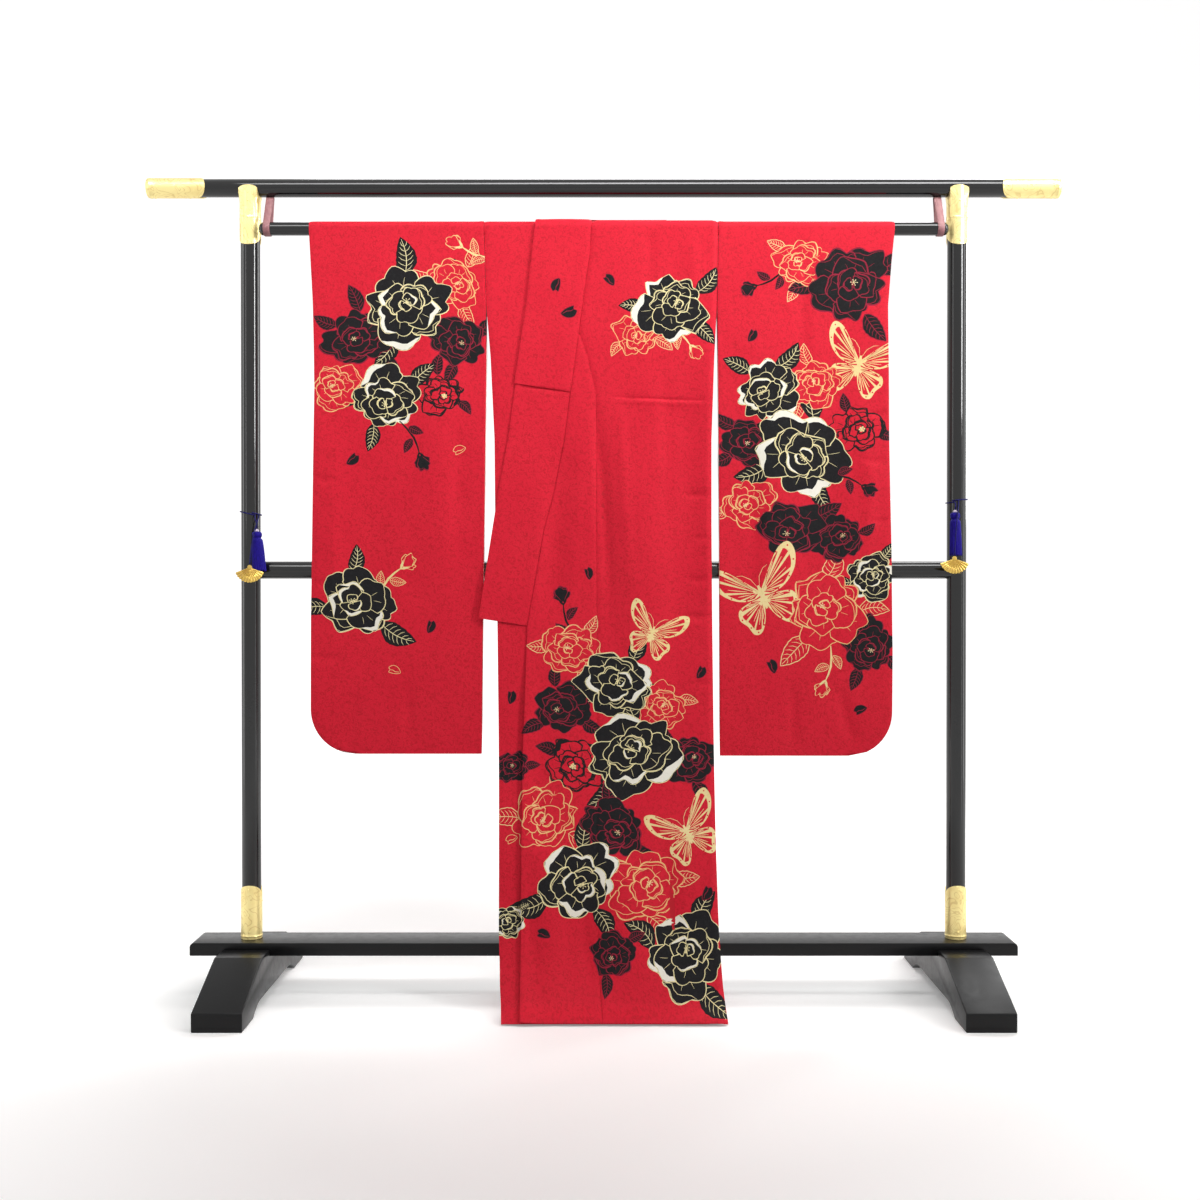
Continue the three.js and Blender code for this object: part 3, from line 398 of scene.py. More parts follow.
def build_feet():
    """Each foot has sloping toes, a notch for the board and a low arch between its two pads."""
    reach, toe, top, flat = foot_high.y, 0.036, foot_high.z, 0.100
    notch, floor = board_high.y + CLEAR, board_low.z - CLEAR
    arch, arch_flat, arch_high = 0.172, 0.120, 0.020
    start, pull, end = (-arch, 0.0), (-arch_flat - 0.020, arch_high), (-arch_flat, arch_high)

    def arch_at(share):
        weights = ((1 - share) ** 2, 2 * share * (1 - share), share ** 2)
        return tuple(sum(w * p[i] for w, p in zip(weights, (start, pull, end))) for i in (0, 1))

    rise = [arch_at(share) for share in np.linspace(0, 1, 8)]
    outline = [(-reach, 0.0)] + rise + [(-y, z) for y, z in rise[::-1]] + [
        (reach, 0.0), (reach, toe), (flat, top), (notch, top), (notch, floor),
        (-notch, floor), (-notch, top), (-flat, top), (-reach, toe)]
    half = (foot_high.x - foot_low.x) / 2
    for side, x in BOTH_POSTS:
        foot = planed_block(f"foot_block_{side}", outline, (x - half, x + half), (2, 0, 1), 0.0022, 4)
        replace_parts(foot, f"foot_{side}")


build_rails()
build_posts()
build_board()
build_feet()

# --------------------------------------------------------------------------------------------------
# The gilt fittings: caps on the rail's ends, collars where each post meets the rail and shoes where
# it meets the board. They are thin brass, gilded, chased with scrolls, cut to round lobes at their
# lips and pinned with small round nails.
# --------------------------------------------------------------------------------------------------

FINE = 144  # sides of a sheet-metal fitting
SHEET_BRASS = 0.0016  # how thick the fittings' brass is


def smooth(low, high, value):
    """0 below low, 1 above high, and an even curve between them."""
    t = np.clip((value - low) / (high - low), 0, 1)
    return t * t * (3 - 2 * t)


def lobe(turn):
    """Height of a round lobe, 1 at the front and the back and 0 at the notches on both sides."""
    from_middle = np.abs(np.arcsin(np.sin(turn))) / (np.pi / 2)
    return np.sqrt(np.maximum(0, 1 - from_middle ** 2))


def chased_scroll_group():
    """Chasing on sheet brass: curling lines cut into it, with a punched ground between them."""
    group, fed = effect_group("chased_scrolls", Size=90.0, Wear=0.4)
    place = fed["Place"]
    swirl = noise(group, place, fed["Size"], 0.6, 0.4, 1.2)
    line = remap(group, calculate(group, "SINE", calculate(group, "MULTIPLY", swirl, 42.0)), 0.72, 0.98)
    punch = remap(group, cells(group, place, 900.0), 0.35, 0.1)
    cut = calculate(group, "MAXIMUM", line, calculate(group, "MULTIPLY", punch, 0.3))
    worn = remap(group, noise(group, place, 30.0, 5.0, 0.65), 0.45, 0.75)
    puts_out(group, Height=calculate(group, "MULTIPLY", cut, -1.0), Cut=line,
             Tarnish=calculate(group, "MULTIPLY", worn, fed["Wear"]))
    return group


CHASED_SCROLLS = chased_scroll_group()


def gilded_brass(name, size, depth, wear, bright=(1.0, 0.84, 0.37), dull=(0.80, 0.56, 0.19)):
    in_cuts = (0.60, 0.38, 0.12)
    paint, tree, shader = material(name)
    work = place_group(tree, CHASED_SCROLLS, Size=size, Wear=wear)
    worn = blend_colours(tree, work["Tarnish"], bright, dull)
    share = calculate(tree, "MULTIPLY", work["Cut"], 0.4)
    feed(tree, shader, Metallic=0.6, Base_Color=blend_colours(tree, share, worn, in_cuts),
         Roughness=remap(tree, work["Tarnish"], 0, 1, 0.30, 0.55),
         Normal=bump(tree, work["Height"], depth))
    return paint


gilt = gilded_brass("gilded_chased_brass", 30.0, 0.00012, 0.5)
gilt_nails = gilded_brass("gilded_nail_heads", 20.0, 0.00003, 0.2)
fan_gilt = gilded_brass("gilded_stamped_brass", 26.0, 0.00004, 0.9, (0.62, 0.42, 0.09), (0.50, 0.32, 0.09))


def nail_heads(spots, radius=0.0019):
    """Small domed nail heads; each spot is a place and the way that the head faces."""
    dome = [ring(radius * wide, radius * high, 14) for wide, high in
            ((1.0, -0.35), (1.0, 0.08), (0.86, 0.36), (0.6, 0.56), (0.3, 0.66), (0.04, 0.69))]
    points, faces = body_through(dome)
    heads = []
    for place, facing in spots:
        turn = Vector(facing).to_track_quat("Z", "Y").to_matrix()
        heads.append(([tuple(turn @ Vector(p) + Vector(place)) for p in points], faces))
    return joined(heads)


def sheet_tube(inner, outer, low, high, bead, rise):
    """A sheet-metal tube between two shaped lips, with its lips rounded and a raised bead on it."""
    turn = full_turn(FINE)
    low, high = low(turn), high(turn)
    wall = outer - inner
    rows = {round(share, 4): 0.0 for share in np.linspace(0.04, 0.96, 15)}
    for step, lift in ((-0.012, 0.0), (-0.006, 0.7), (0.0, 1.0), (0.006, 0.7), (0.012, 0.0)):
        rows[round(bead + step, 4)] = rise * lift
    profile = [(outer - 0.3 * wall, low), (outer, low + 0.3 * wall)]
    profile += [(outer + rows[share], low + (high - low) * share) for share in sorted(rows)]
    profile += [(outer, high - 0.3 * wall), (outer - 0.3 * wall, high), (inner, high), (inner, low)]
    return body_through([ring(radius, z, FINE) for radius, z in profile], loop=True)


def build_caps():
    cap_low, cap_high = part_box("cap_left")
    outer, end = (cap_high.z - cap_low.z) / 2, cap_high.x
    inner, lip, cut, bend = RAIL_RADIUS + CLEAR, cap_low.x, 0.027, 0.0025
    lip_at = lip + cut * (1 - lobe(full_turn(FINE)))
    profile = [(0.0004, end - SHEET_BRASS), (inner, end - SHEET_BRASS), (inner, lip_at),
               (outer - 0.0005, lip_at), (outer, lip_at + 0.0005), (outer, lip_at + 0.002)]
    profile += [(outer, lip_at + (end - 0.010 - lip_at) * share)
                for share in np.linspace(0.08, 0.9, 12)]
    profile += [(outer + lift, end - back) for back, lift in
                ((0.0085, 0.0), (0.0078, 0.0004), (0.0066, 0.0006), (0.0054, 0.0004), (0.0046, 0.0),
                 (0.0030, 0.0))]
    profile += [(outer - bend + bend * math.cos(a), end - bend + bend * math.sin(a))
                for a in np.linspace(0.25, 1, 5) * math.pi / 2]
    profile += [(share * outer, end) for share in (0.8, 0.75, 0.4, 0.02)]
    shell = body_through([ring(radius, x, FINE) for radius, x in profile])
    nails = nail_heads(
        [((0, facing * outer, x), (0, facing, 0)) for facing in (-1, 1)
         for x in (lip + 0.012, lip + 0.060, end - 0.016)]
        + [((facing * outer, 0, x), (facing, 0, 0)) for x in (lip + cut + 0.008, end - 0.016)
           for facing in (-1, 1)])

    for side, way in (("right", -1), ("left", 1)):
        def laid(points):
            return np.asarray(points)[:, [2, 1, 0]] * (way, 1, -way) + (0, 0, RAIL_Z)

        cap = add_piece(f"rail_cap_{side}", laid(shell[0]), shell[1], gilt, "gilt_metal")
        add_piece(f"rail_cap_nails_{side}", laid(nails[0]), nails[1], gilt_nails, "gilt_metal")
        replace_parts(cap, f"cap_{side}")


POST_SLEEVE = (POST_RADIUS + CLEAR, POST_RADIUS + CLEAR + SHEET_BRASS)  # inside and outside
TONGUE = math.radians(62)  # half the width of the tongue that is dressed over the rail


def dress_over_rail(points):
    """Pushes a collar's tongues out, in place, to where they lie on the rail."""
    radius = np.hypot(points[:, 0], points[:, 1])
    facing = np.abs(np.arctan2(points[:, 0], np.abs(points[:, 1])))
    flat = RAIL_RADIUS + CLEAR + np.clip(radius - POST_SLEEVE[0], 0, 0.003)
    dressed = smooth(-0.026, -0.019, points[:, 2] - RAIL_Z) * (facing < TONGUE + 0.03)
    pushed = np.maximum(np.abs(points[:, 1]), flat) * dressed + np.abs(points[:, 1]) * (1 - dressed)
    points[:, 1] = np.copysign(pushed, points[:, 1])


def build_post_fittings():
    outer = POST_SLEEVE[1]
    shoe_low, shoe_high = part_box("foot_fitting_left")
    collar_low, collar_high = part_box("top_fitting_left")
    low_lobe, high_lobe, shoe_lobe = 0.029, 0.023, 0.028
    collar_notch, shoe_notch = collar_low.z + low_lobe, shoe_high.z - shoe_lobe

    def collar_lip(turn):
        top = collar_high.z - high_lobe * (1 - lobe(turn))
        cut = saddle(outer * np.cos(turn), RAIL_RADIUS, RAIL_Z)
        beside = smooth(TONGUE, TONGUE + 0.05, np.abs(np.arcsin(np.sin(turn))))
        return np.minimum(top, cut + 9.0 * (beside < 0.5))

    collar = sheet_tube(*POST_SLEEVE, lambda turn: collar_notch - low_lobe * lobe(turn), collar_lip,
                        0.46, 0.0005)
    dress_over_rail(collar[0])
    shoe = sheet_tube(*POST_SLEEVE, lambda turn: shoe_low.z + 0 * turn,
                      lambda turn: shoe_notch + shoe_lobe * lobe(turn), 0.06, 0.0006)
    for side, x in BOTH_POSTS:
        for name, (points, faces), heights, notch, cad in (
            ("collar", collar, (collar_low.z + 0.008, RAIL_Z - 0.030), collar_notch + 0.006, "top"),
            ("shoe", shoe, (shoe_high.z - 0.008, shoe_low.z + 0.016), shoe_notch - 0.006, "foot"),
        ):
            piece = add_piece(f"gilt_{name}_{side}", points + (x, 0, 0), faces, gilt, "gilt_metal")
            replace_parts(piece, f"{cad}_fitting_{side}")
            spots = [((x, way * outer, z), (0, way, 0)) for way in (-1, 1) for z in heights]
            spots += [((x + way * outer, 0, notch), (way, 0, 0)) for way in (-1, 1)]
            add_piece(f"gilt_{name}_nails_{side}", *nail_heads(spots), gilt_nails, "gilt_metal")


build_caps()
build_post_fittings()

# --------------------------------------------------------------------------------------------------
# The hanging rod and its two straps. The rod is a thin turned bar of the same black lacquer with
# rounded ends. A mauve leather strap goes round the rail's underside and the rod at each end.
# --------------------------------------------------------------------------------------------------

rod_low, rod_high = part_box("hanging_rod")
ROD_Y, ROD_Z = (rod_low.y + rod_high.y) / 2, (rod_low.z + rod_high.z) / 2
ROD_RADIUS = (rod_high.z - rod_low.z) / 2


def build_rod():
    end, radius, rounding = rod_high.x, ROD_RADIUS, 0.010
    cap = [(radius * math.cos(a), end - rounding + rounding * math.sin(a))
           for a in np.linspace(0, math.pi / 2 - 0.04, 12)]
    profile = [(r, -x) for r, x in cap[::-1]]
    profile += [(radius, x) for x in np.linspace(-end + 0.02, end - 0.02, 9)] + cap
    rod = along_x([ring(r, x, 72) for r, x in profile])
    add_turned("rod_for_hanging", rod + (0, ROD_Y, ROD_Z), "hanging_rod")


def strap_leather():
    dark, bright = (0.30, 0.115, 0.13), (0.40, 0.20, 0.20)
    paint, tree, shader = material("mauve_strap_leather")
    place = node(tree, "TexCoord").outputs["Object"]
    clouds = noise(tree, place, 70.0, 5.0, 0.6)
    feed(tree, shader, Normal=bump(tree, cells(tree, place, 1100.0), 0.0002),
         Base_Color=blend_colours(tree, remap(tree, clouds, 0.35, 0.7), dark, bright),
         Roughness=remap(tree, clouds, 0.3, 0.7, 0.42, 0.62))
    return paint


def unit(vectors, shortest=1e-9):
    """Vectors, one in each row, brought to a length of one."""
    return vectors / np.maximum(shortest, np.linalg.norm(vectors, axis=-1))[..., None]


def straight(start, end, first, last, steps=12):
    start, end = np.array(start), np.array(end)
    return [tuple(start + (end - start) * share) for share in np.linspace(first, last, steps)]


def build_straps():
    """A band with rounded edges that follows a loop: over its top, down, round the rod and up."""
    finish = strap_leather()
    strap_low, strap_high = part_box("strap_left")
    thick, top, top_half = 0.0016, strap_high.z, 0.0035
    around = ROD_RADIUS + CLEAR + thick / 2
    lean = math.atan2(-ROD_Y, top - ROD_Z)
    path = [(ROD_Y + around * math.cos(a), ROD_Z + around * math.sin(a))
            for a in np.linspace(math.pi - lean, 2 * math.pi - lean, 34)]
    near, far = (top_half - thick / 2, top - thick / 2), (thick / 2 - top_half, top - thick / 2)
    path += straight(path[-1], near, 0.08, 1)
    path = np.array(path + straight(far, path[0], 0, 0.92))
    ahead = unit(np.roll(path, -1, 0) - np.roll(path, 1, 0))
    half = (strap_high.x - strap_low.x) / 2
    section = [(-1, -0.2), (-0.93, -0.5), (0.93, -0.5), (1, -0.2), (1, 0.2), (0.93, 0.5), (0, 0.56),
               (-0.93, 0.5), (-1, 0.2)]
    for side, x in (("right", -(strap_low.x + half)), ("left", strap_low.x + half)):
        rings = []
        for (y, z), (ahead_y, ahead_z) in zip(path, ahead):
            slim = half * (0.86 + 0.14 * (z - ROD_Z) / (top - ROD_Z))
            rings.append([(x + slim * u, y + ahead_z * thick * v, z - ahead_y * thick * v)
                          for u, v in section])
        strap = add_piece(f"strap_of_{side}_side", *body_through(rings, loop=True), finish,
                          "strap_tape", sharp=60)
        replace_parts(strap, f"strap_{side}")


build_rod()
build_straps()

# --------------------------------------------------------------------------------------------------
# The two tassels: a limp blue silk cord goes round each post, and a strand of it carries a knot, a
# head bound with silk and a skirt of loose threads. A second strand carries a small gilt fan that
# hangs from its pivot.
# --------------------------------------------------------------------------------------------------

TASSELS = {
    "right": dict(ring_z=0.985, tilt=0.20, head=(-0.704, 0.945), head_radius=0.009,
                  foot=(-0.698, 0.866), foot_radius=0.015, fan=(-0.714, 0.872)),
    "left": dict(ring_z=1.010, tilt=-0.12, head=(0.713, 0.984), head_radius=0.009,
                 foot=(0.714, 0.897), foot_radius=0.013, fan=(0.708, 0.890)),
}
CORD = 0.0028  # thickness of the silk cord
FLATTENED = 0.7  # a tassel is this deep for its width, pressed against the post
FAN_HUB = 0.0045


def silk_thread_group():
    """Silk yarn: threads that run one way, with painted shade on those sunk between the others."""
    group, fed = effect_group("silk_threads", Fineness=1.0)
    squeezed = node(group, "VectorMath", operation="MULTIPLY", Vector=fed["Place"])
    squeezed.inputs[1].default_value = (1700, 1700, 34)
    finer = node(group, "VectorMath", operation="SCALE", Vector=squeezed.outputs[0],
                 Scale=fed["Fineness"])
    threads = noise(group, finer.outputs[0], 1.0, 3.0, 0.6)
    puts_out(group, Height=threads, Shade=remap(group, threads, 0.3, 0.75))
    return group


SILK_THREADS = silk_thread_group()


def dyed_silk(name, dark, bright, fineness, depth):
    paint, tree, shader = material(name)
    threads = place_group(tree, SILK_THREADS, Fineness=fineness)
    # the colour goes from dark, painted shade where the threads sink, to bright where they stand up
    feed(tree, shader, Base_Color=blend_colours(tree, threads["Shade"], dark, bright),
         Roughness=remap(tree, threads["Shade"], 0, 1, 0.62, 0.42), Specular_IOR_Level=0.12,
         Normal=bump(tree, threads["Height"], depth))
    return paint


blue_silk = dyed_silk("blue_silk_threads", (0.004, 0.002, 0.085), (0.022, 0.008, 0.36), 1.0, 0.0005)
navy_cord = dyed_silk("navy_silk_cord", (0.006, 0.005, 0.050), (0.018, 0.014, 0.16), 0.7, 0.0003)
# the knot's pale lilac colour is a painted highlight
knot_painted_highlight = dyed_silk("knot_thread_painted_highlight", (0.46, 0.38, 0.50), (0.80, 0.70, 0.78), 0.8, 0.0003)


def depth_of(radius):
    """How far in front of the post's middle a tassel of this radius hangs."""
    return -(POST_RADIUS + 0.001 + radius * FLATTENED)


def smooth_path(points, steps, closed=False):
    """A smooth path through points, from the first to the last of them or closed."""
    p = np.array(points, float)
    around = [p[-1:], p, p[:2]] if closed else [2 * p[:1] - p[1:2], p, 2 * p[-1:] - p[-2:-1]]
    p = np.concatenate(around)
    path = []
    for a, b, c, d in zip(p, p[1:], p[2:], p[3:]):
        for t in np.linspace(0, 1, steps, endpoint=False):
            path.append(0.5 * (2 * b + (c - a) * t + (2 * a - 5 * b + 4 * c - d) * t ** 2
                               + (3 * b - a - 3 * c + d) * t ** 3))
    return np.array(path if closed else path + [p[-2]])


def run_along(path):
    """How far along a path each of its points is."""
    return np.concatenate([[0], np.cumsum(np.linalg.norm(np.diff(path, axis=0), axis=1))])


def plied_cord(name, path):
    """A cord of two plies twisted together, swept along a path."""
    turns = full_turn(16)
    side = np.array([0.0, 0.0, 1.0])
    rings = []
    for place, along, run in zip(path, unit(np.gradient(path, axis=0)), run_along(path)):
        if not rings and abs(along[2]) >= 0.8:
            side = np.array([1.0, 0.0, 0.0])
        side = unit(side - along * side.dot(along))
        radius = CORD / 2 * (0.86 + 0.14 * np.cos(2 * (turns - run / CORD * 1.1)))
        rings.append(place + radius[:, None] * (np.cos(turns)[:, None] * side
                                                + np.sin(turns)[:, None] * np.cross(along, side)))
    return add_piece(name, *body_through(rings), navy_cord, "blue_silk", sharp=None)


def threads_skirt(name, head, foot, head_radius, foot_radius):
    """The tassel's bound head and its skirt, fluted where the threads gather into strands."""
    profile = [(1.00, 0.10), (0.995, 0.6), (0.985, 0.90), (0.965, 1.06), (0.93, 1.12), (0.89, 1.10),
               (0.865, 1.02), (0.855, 0.90), (0.845, 0.86), (0.825, 0.86), (0.815, 0.92),
               (0.80, 1.10)]
    grown = foot_radius / head_radius * 0.92
    profile += [(0.785 - 0.785 * s, 1.16 + (grown - 1.16) * s ** 0.6)
                for s in np.linspace(0.03, 1, 20)]
    turns = full_turn(120)
    rings = []
    for along, share in profile[::-1]:
        loose = max(0.0, 1 - along / 0.80)
        flute = 1 + loose ** 0.5 * (0.035 * np.sin(23 * turns + 1.3) + 0.03 * np.sin(41 * turns)
                                    + 0.02 * np.sin(9 * turns + along * 4))
        flute += (0.015 * np.sin(30 * turns)) * (0.81 < along < 0.86)
        ragged = (0.0016 * np.sin(17 * turns) + 0.001 * np.sin(31 * turns + 2)) * (along < 0.01)
        rings.append(ring(head_radius * share * flute, ragged, 120) * (1, FLATTENED, 1)
                     + foot + (head - foot) * along)
    middle = rings[0].mean(0)
    rings.insert(0, middle + (0, 0, 0.004) + (rings[0] - middle) * (0.6, 0.6, 0.2))
    return add_piece(name, *body_through(rings), blue_silk, "blue_silk", sharp=50)


def small_knot(name, place, radius):
    """A round knot, wound across itself, in a pale colour that is a painted highlight."""
    rings = []
    for a in np.linspace(-math.pi / 2 + 0.08, math.pi / 2 - 0.08, 15):
        wound = 1 + 0.07 * np.sin(7 * full_turn(48) + 5 * a)
        rings.append(ring(radius * math.cos(a) * wound, 0.82 * radius * math.sin(a), 48) + place)
    return add_piece(name, *body_through(rings), knot_painted_highlight, "blue_silk", sharp=None)


def fan_charm(name, place):
    """An open fan of thin gilt brass: raised ribs, a shallow round at each rib's end, a pivot."""
    ribs, spread, reach, root = 12, 1.22, 0.031, FAN_HUB * 0.6
    angles = np.linspace(-spread, spread, ribs * 12 + 1)
    share = np.abs(((angles + spread) / (2 * spread) * ribs) % 1 - 0.5) * 2
    tip = reach - 0.0015 * share ** 2
    rings = []
    for row in (0.0, 0.12, 0.3, 0.5, 0.62, 0.64, 0.8, 0.94, 1.0):
        r = root + (tip - root) * row
        fold = 0.0014 * (1 - share ** 1.5) * min(1, row * 4) + 0.0003 * (row > 0.63)
        front = np.stack([r * np.sin(angles), -0.0005 - fold, -r * np.cos(angles)], 1)
        rings.append(np.concatenate([front, (front * (1, 0, 1) + (0, 0.0009, 0))[::-1]]))
    blade, blade_faces = body_through(rings)
    pivot = [ring(r, high, 40) for r, high in ((0.0042, -0.0014), (0.0046, -0.0008), (0.0046, 0.0010),
                                               (0.0040, 0.0017), (0.0012, 0.0021), (0.0003, 0.0021))]
    pivot = body_through(np.asarray(pivot)[..., [0, 2, 1]] * (1, -1, 1))
    points, faces = joined([(blade, [face[::-1] for face in blade_faces]), pivot])
    return add_piece(name, points + place, faces, fan_gilt, "gilt_metal", sharp=30)


def build_tassel(side, spec):
    post_x = math.copysign(POST_X, spec["head"][0])
    around = POST_RADIUS + CLEAR + CORD / 2
    head_x, head_z = spec["head"]
    foot_x, foot_z = spec["foot"]
    head_y, foot_y = depth_of(spec["head_radius"]), depth_of(spec["foot_radius"])
    head, foot = np.array([head_x, head_y, head_z]), np.array([foot_x, foot_y, foot_z])

    def on_post(turn, drop=0.0, out=0.0):
        """A point of the ring on the post; 0 is the front and the ring dips with its tilt."""
        x = (around + out) * math.sin(turn)
        return (post_x + x, -(around + out) * math.cos(turn),
                spec["ring_z"] - math.tan(spec["tilt"]) * x - drop)

    tie = math.asin((head_x - post_x) * 0.7 / around)
    lap, wound = 0.34, 1.25 * CORD / (2 * math.pi)  # the turn's overlap, and its drop for each radian
    loop = [on_post(tie + step, drop=wound * (step + lap))
            for step in np.linspace(-lap, 2 * math.pi - 0.30, 26)]
    end = on_post(tie - 0.08, drop=1.35 * CORD, out=0.0008)
    knot_z = head_z + 0.0026
    hang = [end, (head_x + (end[0] - head_x) * 0.45, head_y - 0.0016, end[2] - 0.0085),
            (head_x, head_y - 0.0006, (end[2] - 0.009 + knot_z) / 2), (head_x, head_y, knot_z)]
    hang += [tuple(head + (foot - head) * share) for share in (0.2, 0.4, 0.6)]
    path = smooth_path(loop + hang, 6)
    cord = plied_cord(f"tassel_cord_of_{side}_side", path)
    knot = small_knot(f"tassel_knot_{side}", (head_x, head_y, head_z + 0.0012), 0.0044)
    skirt = threads_skirt(f"tassel_skirt_{side}", head, foot, spec["head_radius"], spec["foot_radius"])
    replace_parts(skirt, f"tassel_{side}")
    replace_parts(cord, f"tassel_cord_{side}")

    fan_x, fan_z = spec["fan"]
    fan_y = foot_y - spec["foot_radius"] * FLATTENED - 0.003
    start = on_post(tie + 0.22, drop=-0.0006, out=CORD + 0.0002)
    path = smooth_path([
        start, (start[0], start[1] - 0.0014, start[2] - 0.010),
        (start[0] + (fan_x - start[0]) * 0.4, head_y - spec["head_radius"] * FLATTENED - 0.0034,
         head_z - 0.006),
        (start[0] + (fan_x - start[0]) * 0.75, fan_y + 0.001, (head_z + foot_z) / 2),
        (fan_x, fan_y, fan_z + FAN_HUB + 0.0012)], 10)
    strand = plied_cord(f"fan_cord_of_{side}_side", path)
    fan = fan_charm(f"fan_charm_{side}", np.array([fan_x, fan_y, fan_z]))
    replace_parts(fan, f"fan_{side}")


for tassel_side, tassel_spec in TASSELS.items():
    build_tassel(tassel_side, tassel_spec)

# --------------------------------------------------------------------------------------------------
# The dyes on the cloth: red silk crepe with a small woven figure, dyed by hand. Paste keeps each
# outline clear of the dye beside it, so every shape has a pale, gold or dark line round it.
# --------------------------------------------------------------------------------------------------

RED, BLACK, CREAM, WHITE, CRIMSON, PEACH, GOLD, LINING, FACING = range(9)


def crepe_group():
    """Figured crepe: a pebble of twisted weft, the weave's own rows and small woven dashes."""
    group, fed = effect_group("figured_crepe", Figure=1.0)
    place = fed["Place"]
    fine = node(group, "VectorMath", operation="MULTIPLY", Vector=place)
    fine.inputs[1].default_value = (620, 1150, 1)
    pebble = noise(group, fine.outputs[0], 1.0, 3.0, 0.6, 0.4)
    soft = remap(group, noise(group, place, 150.0, 2.5, 0.62, 1.2), 0.47, 0.66)
    crisp = calculate(group, "MULTIPLY", remap(group, cells(group, place, 240.0, 0.9), 0.50, 0.15), 0.30)
    mark = calculate(group, "MULTIPLY", calculate(group, "ADD", soft, crisp), 0.66, fed["Figure"])
    height = calculate(group, "ADD", pebble, calculate(group, "MULTIPLY", mark, -0.55))
    clouds = remap(group, noise(group, place, 9.0, 4.0, 0.55), 0.3, 0.7)
    puts_out(group, Height=height, Dashes=mark, Unevenness=clouds)
    return group


FIGURED_CREPE = crepe_group()


def dyed_crepe(name, colour, marked, cast, rough, figure=1.0, depth=0.00035):
    """Crepe in one dye. marked is its colour in the woven dashes, cast a slow shift of the dye."""
    paint, tree, shader = material(name)
    flat = node(tree, "UVMap", uv_map="Flat").outputs["UV"]
    weave = place_group(tree, FIGURED_CREPE, flat, Figure=figure)
    ground = blend_colours(tree, weave["Unevenness"], colour, cast)
    feed(tree, shader, Base_Color=blend_colours(tree, weave["Dashes"], ground, marked),
         Roughness=remap(tree, weave["Dashes"], 0, 1, rough, rough - 0.12), Sheen_Weight=0.02,
         Sheen_Roughness=0.5, Specular_IOR_Level=0.2, Normal=bump(tree, weave["Height"], depth))
    return paint


DYES = {
    RED: dyed_crepe("dye_scarlet_ground", (0.66, 0.0095, 0.031), (0.46, 0.005, 0.014),
                    (0.69, 0.0130, 0.034), 0.74),
    BLACK: dyed_crepe("dye_black", (0.004, 0.004, 0.005), (0.008, 0.008, 0.009),
                      (0.006, 0.005, 0.006), 0.82),
    CREAM: dyed_crepe("dye_cream_line", (0.80, 0.70, 0.36), (0.70, 0.60, 0.28),
                      (0.86, 0.77, 0.44), 0.6, 0.4),
    WHITE: dyed_crepe("dye_left_white", (0.84, 0.80, 0.68), (0.76, 0.71, 0.58),
                      (0.88, 0.85, 0.76), 0.66, 0.5),
    CRIMSON: dyed_crepe("dye_crimson_line", (0.27, 0.008, 0.030), (0.20, 0.005, 0.020),
                        (0.33, 0.012, 0.038), 0.7, 0.4),
    PEACH: dyed_crepe("dye_peach_line", (0.82, 0.50, 0.20), (0.72, 0.40, 0.15),
                      (0.86, 0.57, 0.26), 0.58, 0.4),
    GOLD: dyed_crepe("dye_gold", (0.82, 0.64, 0.28), (0.72, 0.52, 0.20),
                     (0.88, 0.72, 0.38), 0.5, 0.6),
    LINING: dyed_crepe("lining_white_silk", (0.84, 0.80, 0.74), (0.82, 0.78, 0.72),
                       (0.88, 0.85, 0.80), 0.5, 0.15, 0.00012),
    FACING: dyed_crepe("lining_red_facing", (0.50, 0.010, 0.022), (0.46, 0.009, 0.020),
                       (0.55, 0.013, 0.028), 0.55, 0.2, 0.00012),
}

# how each kind of leaf, and of flower with its leaves, is coloured
INK = dict(fill=BLACK, line=CREAM)
COAL = dict(fill=BLACK, line=CRIMSON)
STRAW = dict(fill=RED, line=GOLD)
NIGHT = dict(fill=BLACK, line=CREAM, curl=WHITE, heart=CREAM, bold=1.0, leaf=INK)
EMBER = dict(fill=BLACK, line=CRIMSON, curl=None, heart=CREAM, bold=1.0, leaf=COAL)
DAWN = dict(fill=RED, line=PEACH, curl=None, heart=CREAM, bold=1.0, leaf=STRAW)
DUSK = dict(fill=RED, line=BLACK, curl=BLACK, heart=GOLD, bold=2.3, leaf=COAL)


def side_of(ahead):
    """The way to the left of each step along a path in the flat."""
    return np.stack([-ahead[:, 1], ahead[:, 0]], 1)


def inset(loop, width):
    """A closed shape drawn again a little inside itself."""
    inward = side_of(unit(np.roll(loop, -1, 0) - loop))
    return loop + unit(inward + np.roll(inward, 1, 0), 0.6) * width


def stroke(points, width):
    """A brush stroke along a few points, fine at its start and its end."""
    p = np.asarray(points, float)
    half = width / 2 * (0.25 + 0.75 * np.sin(np.pi * np.linspace(0.08, 0.94, len(p))))
    side = side_of(unit(np.gradient(p, axis=0))) * half[:, None]
    return np.concatenate([p - side, (p + side)[::-1]])


def round_dot(sides):
    return np.stack([np.cos(full_turn(sides)), np.sin(full_turn(sides))], 1)


def turned(points, angle):
    c, s = math.cos(angle), math.sin(angle)
    return np.asarray(points) @ np.array([[c, s], [-s, c]])


def put(shapes, turn, x, h):
    """Shapes turned and moved to their place on the cloth."""
    return [(turned(points, turn) + (x, h), dye) for points, dye in shapes]


def petal_edge(reach, s, shape):
    """How far a petal's lip is from the heart at s, -1 to 1 across it: waved, dented or pointed."""
    dent, wave, phase, skew = shape
    s = np.clip(s + skew * (1 - s ** 2), -1, 1)
    round_lobes, sharp_lobes = np.abs(np.sin(4.2 * s + phase)) - 0.6, 0.4 - np.abs(np.sin(3.6 * s + phase))
    torn = round_lobes if phase < 4.4 else sharp_lobes
    return reach * (1 - 0.30 * np.abs(s) ** 2.4 - dent * np.exp(-(s / 0.14) ** 2) + wave * torn)


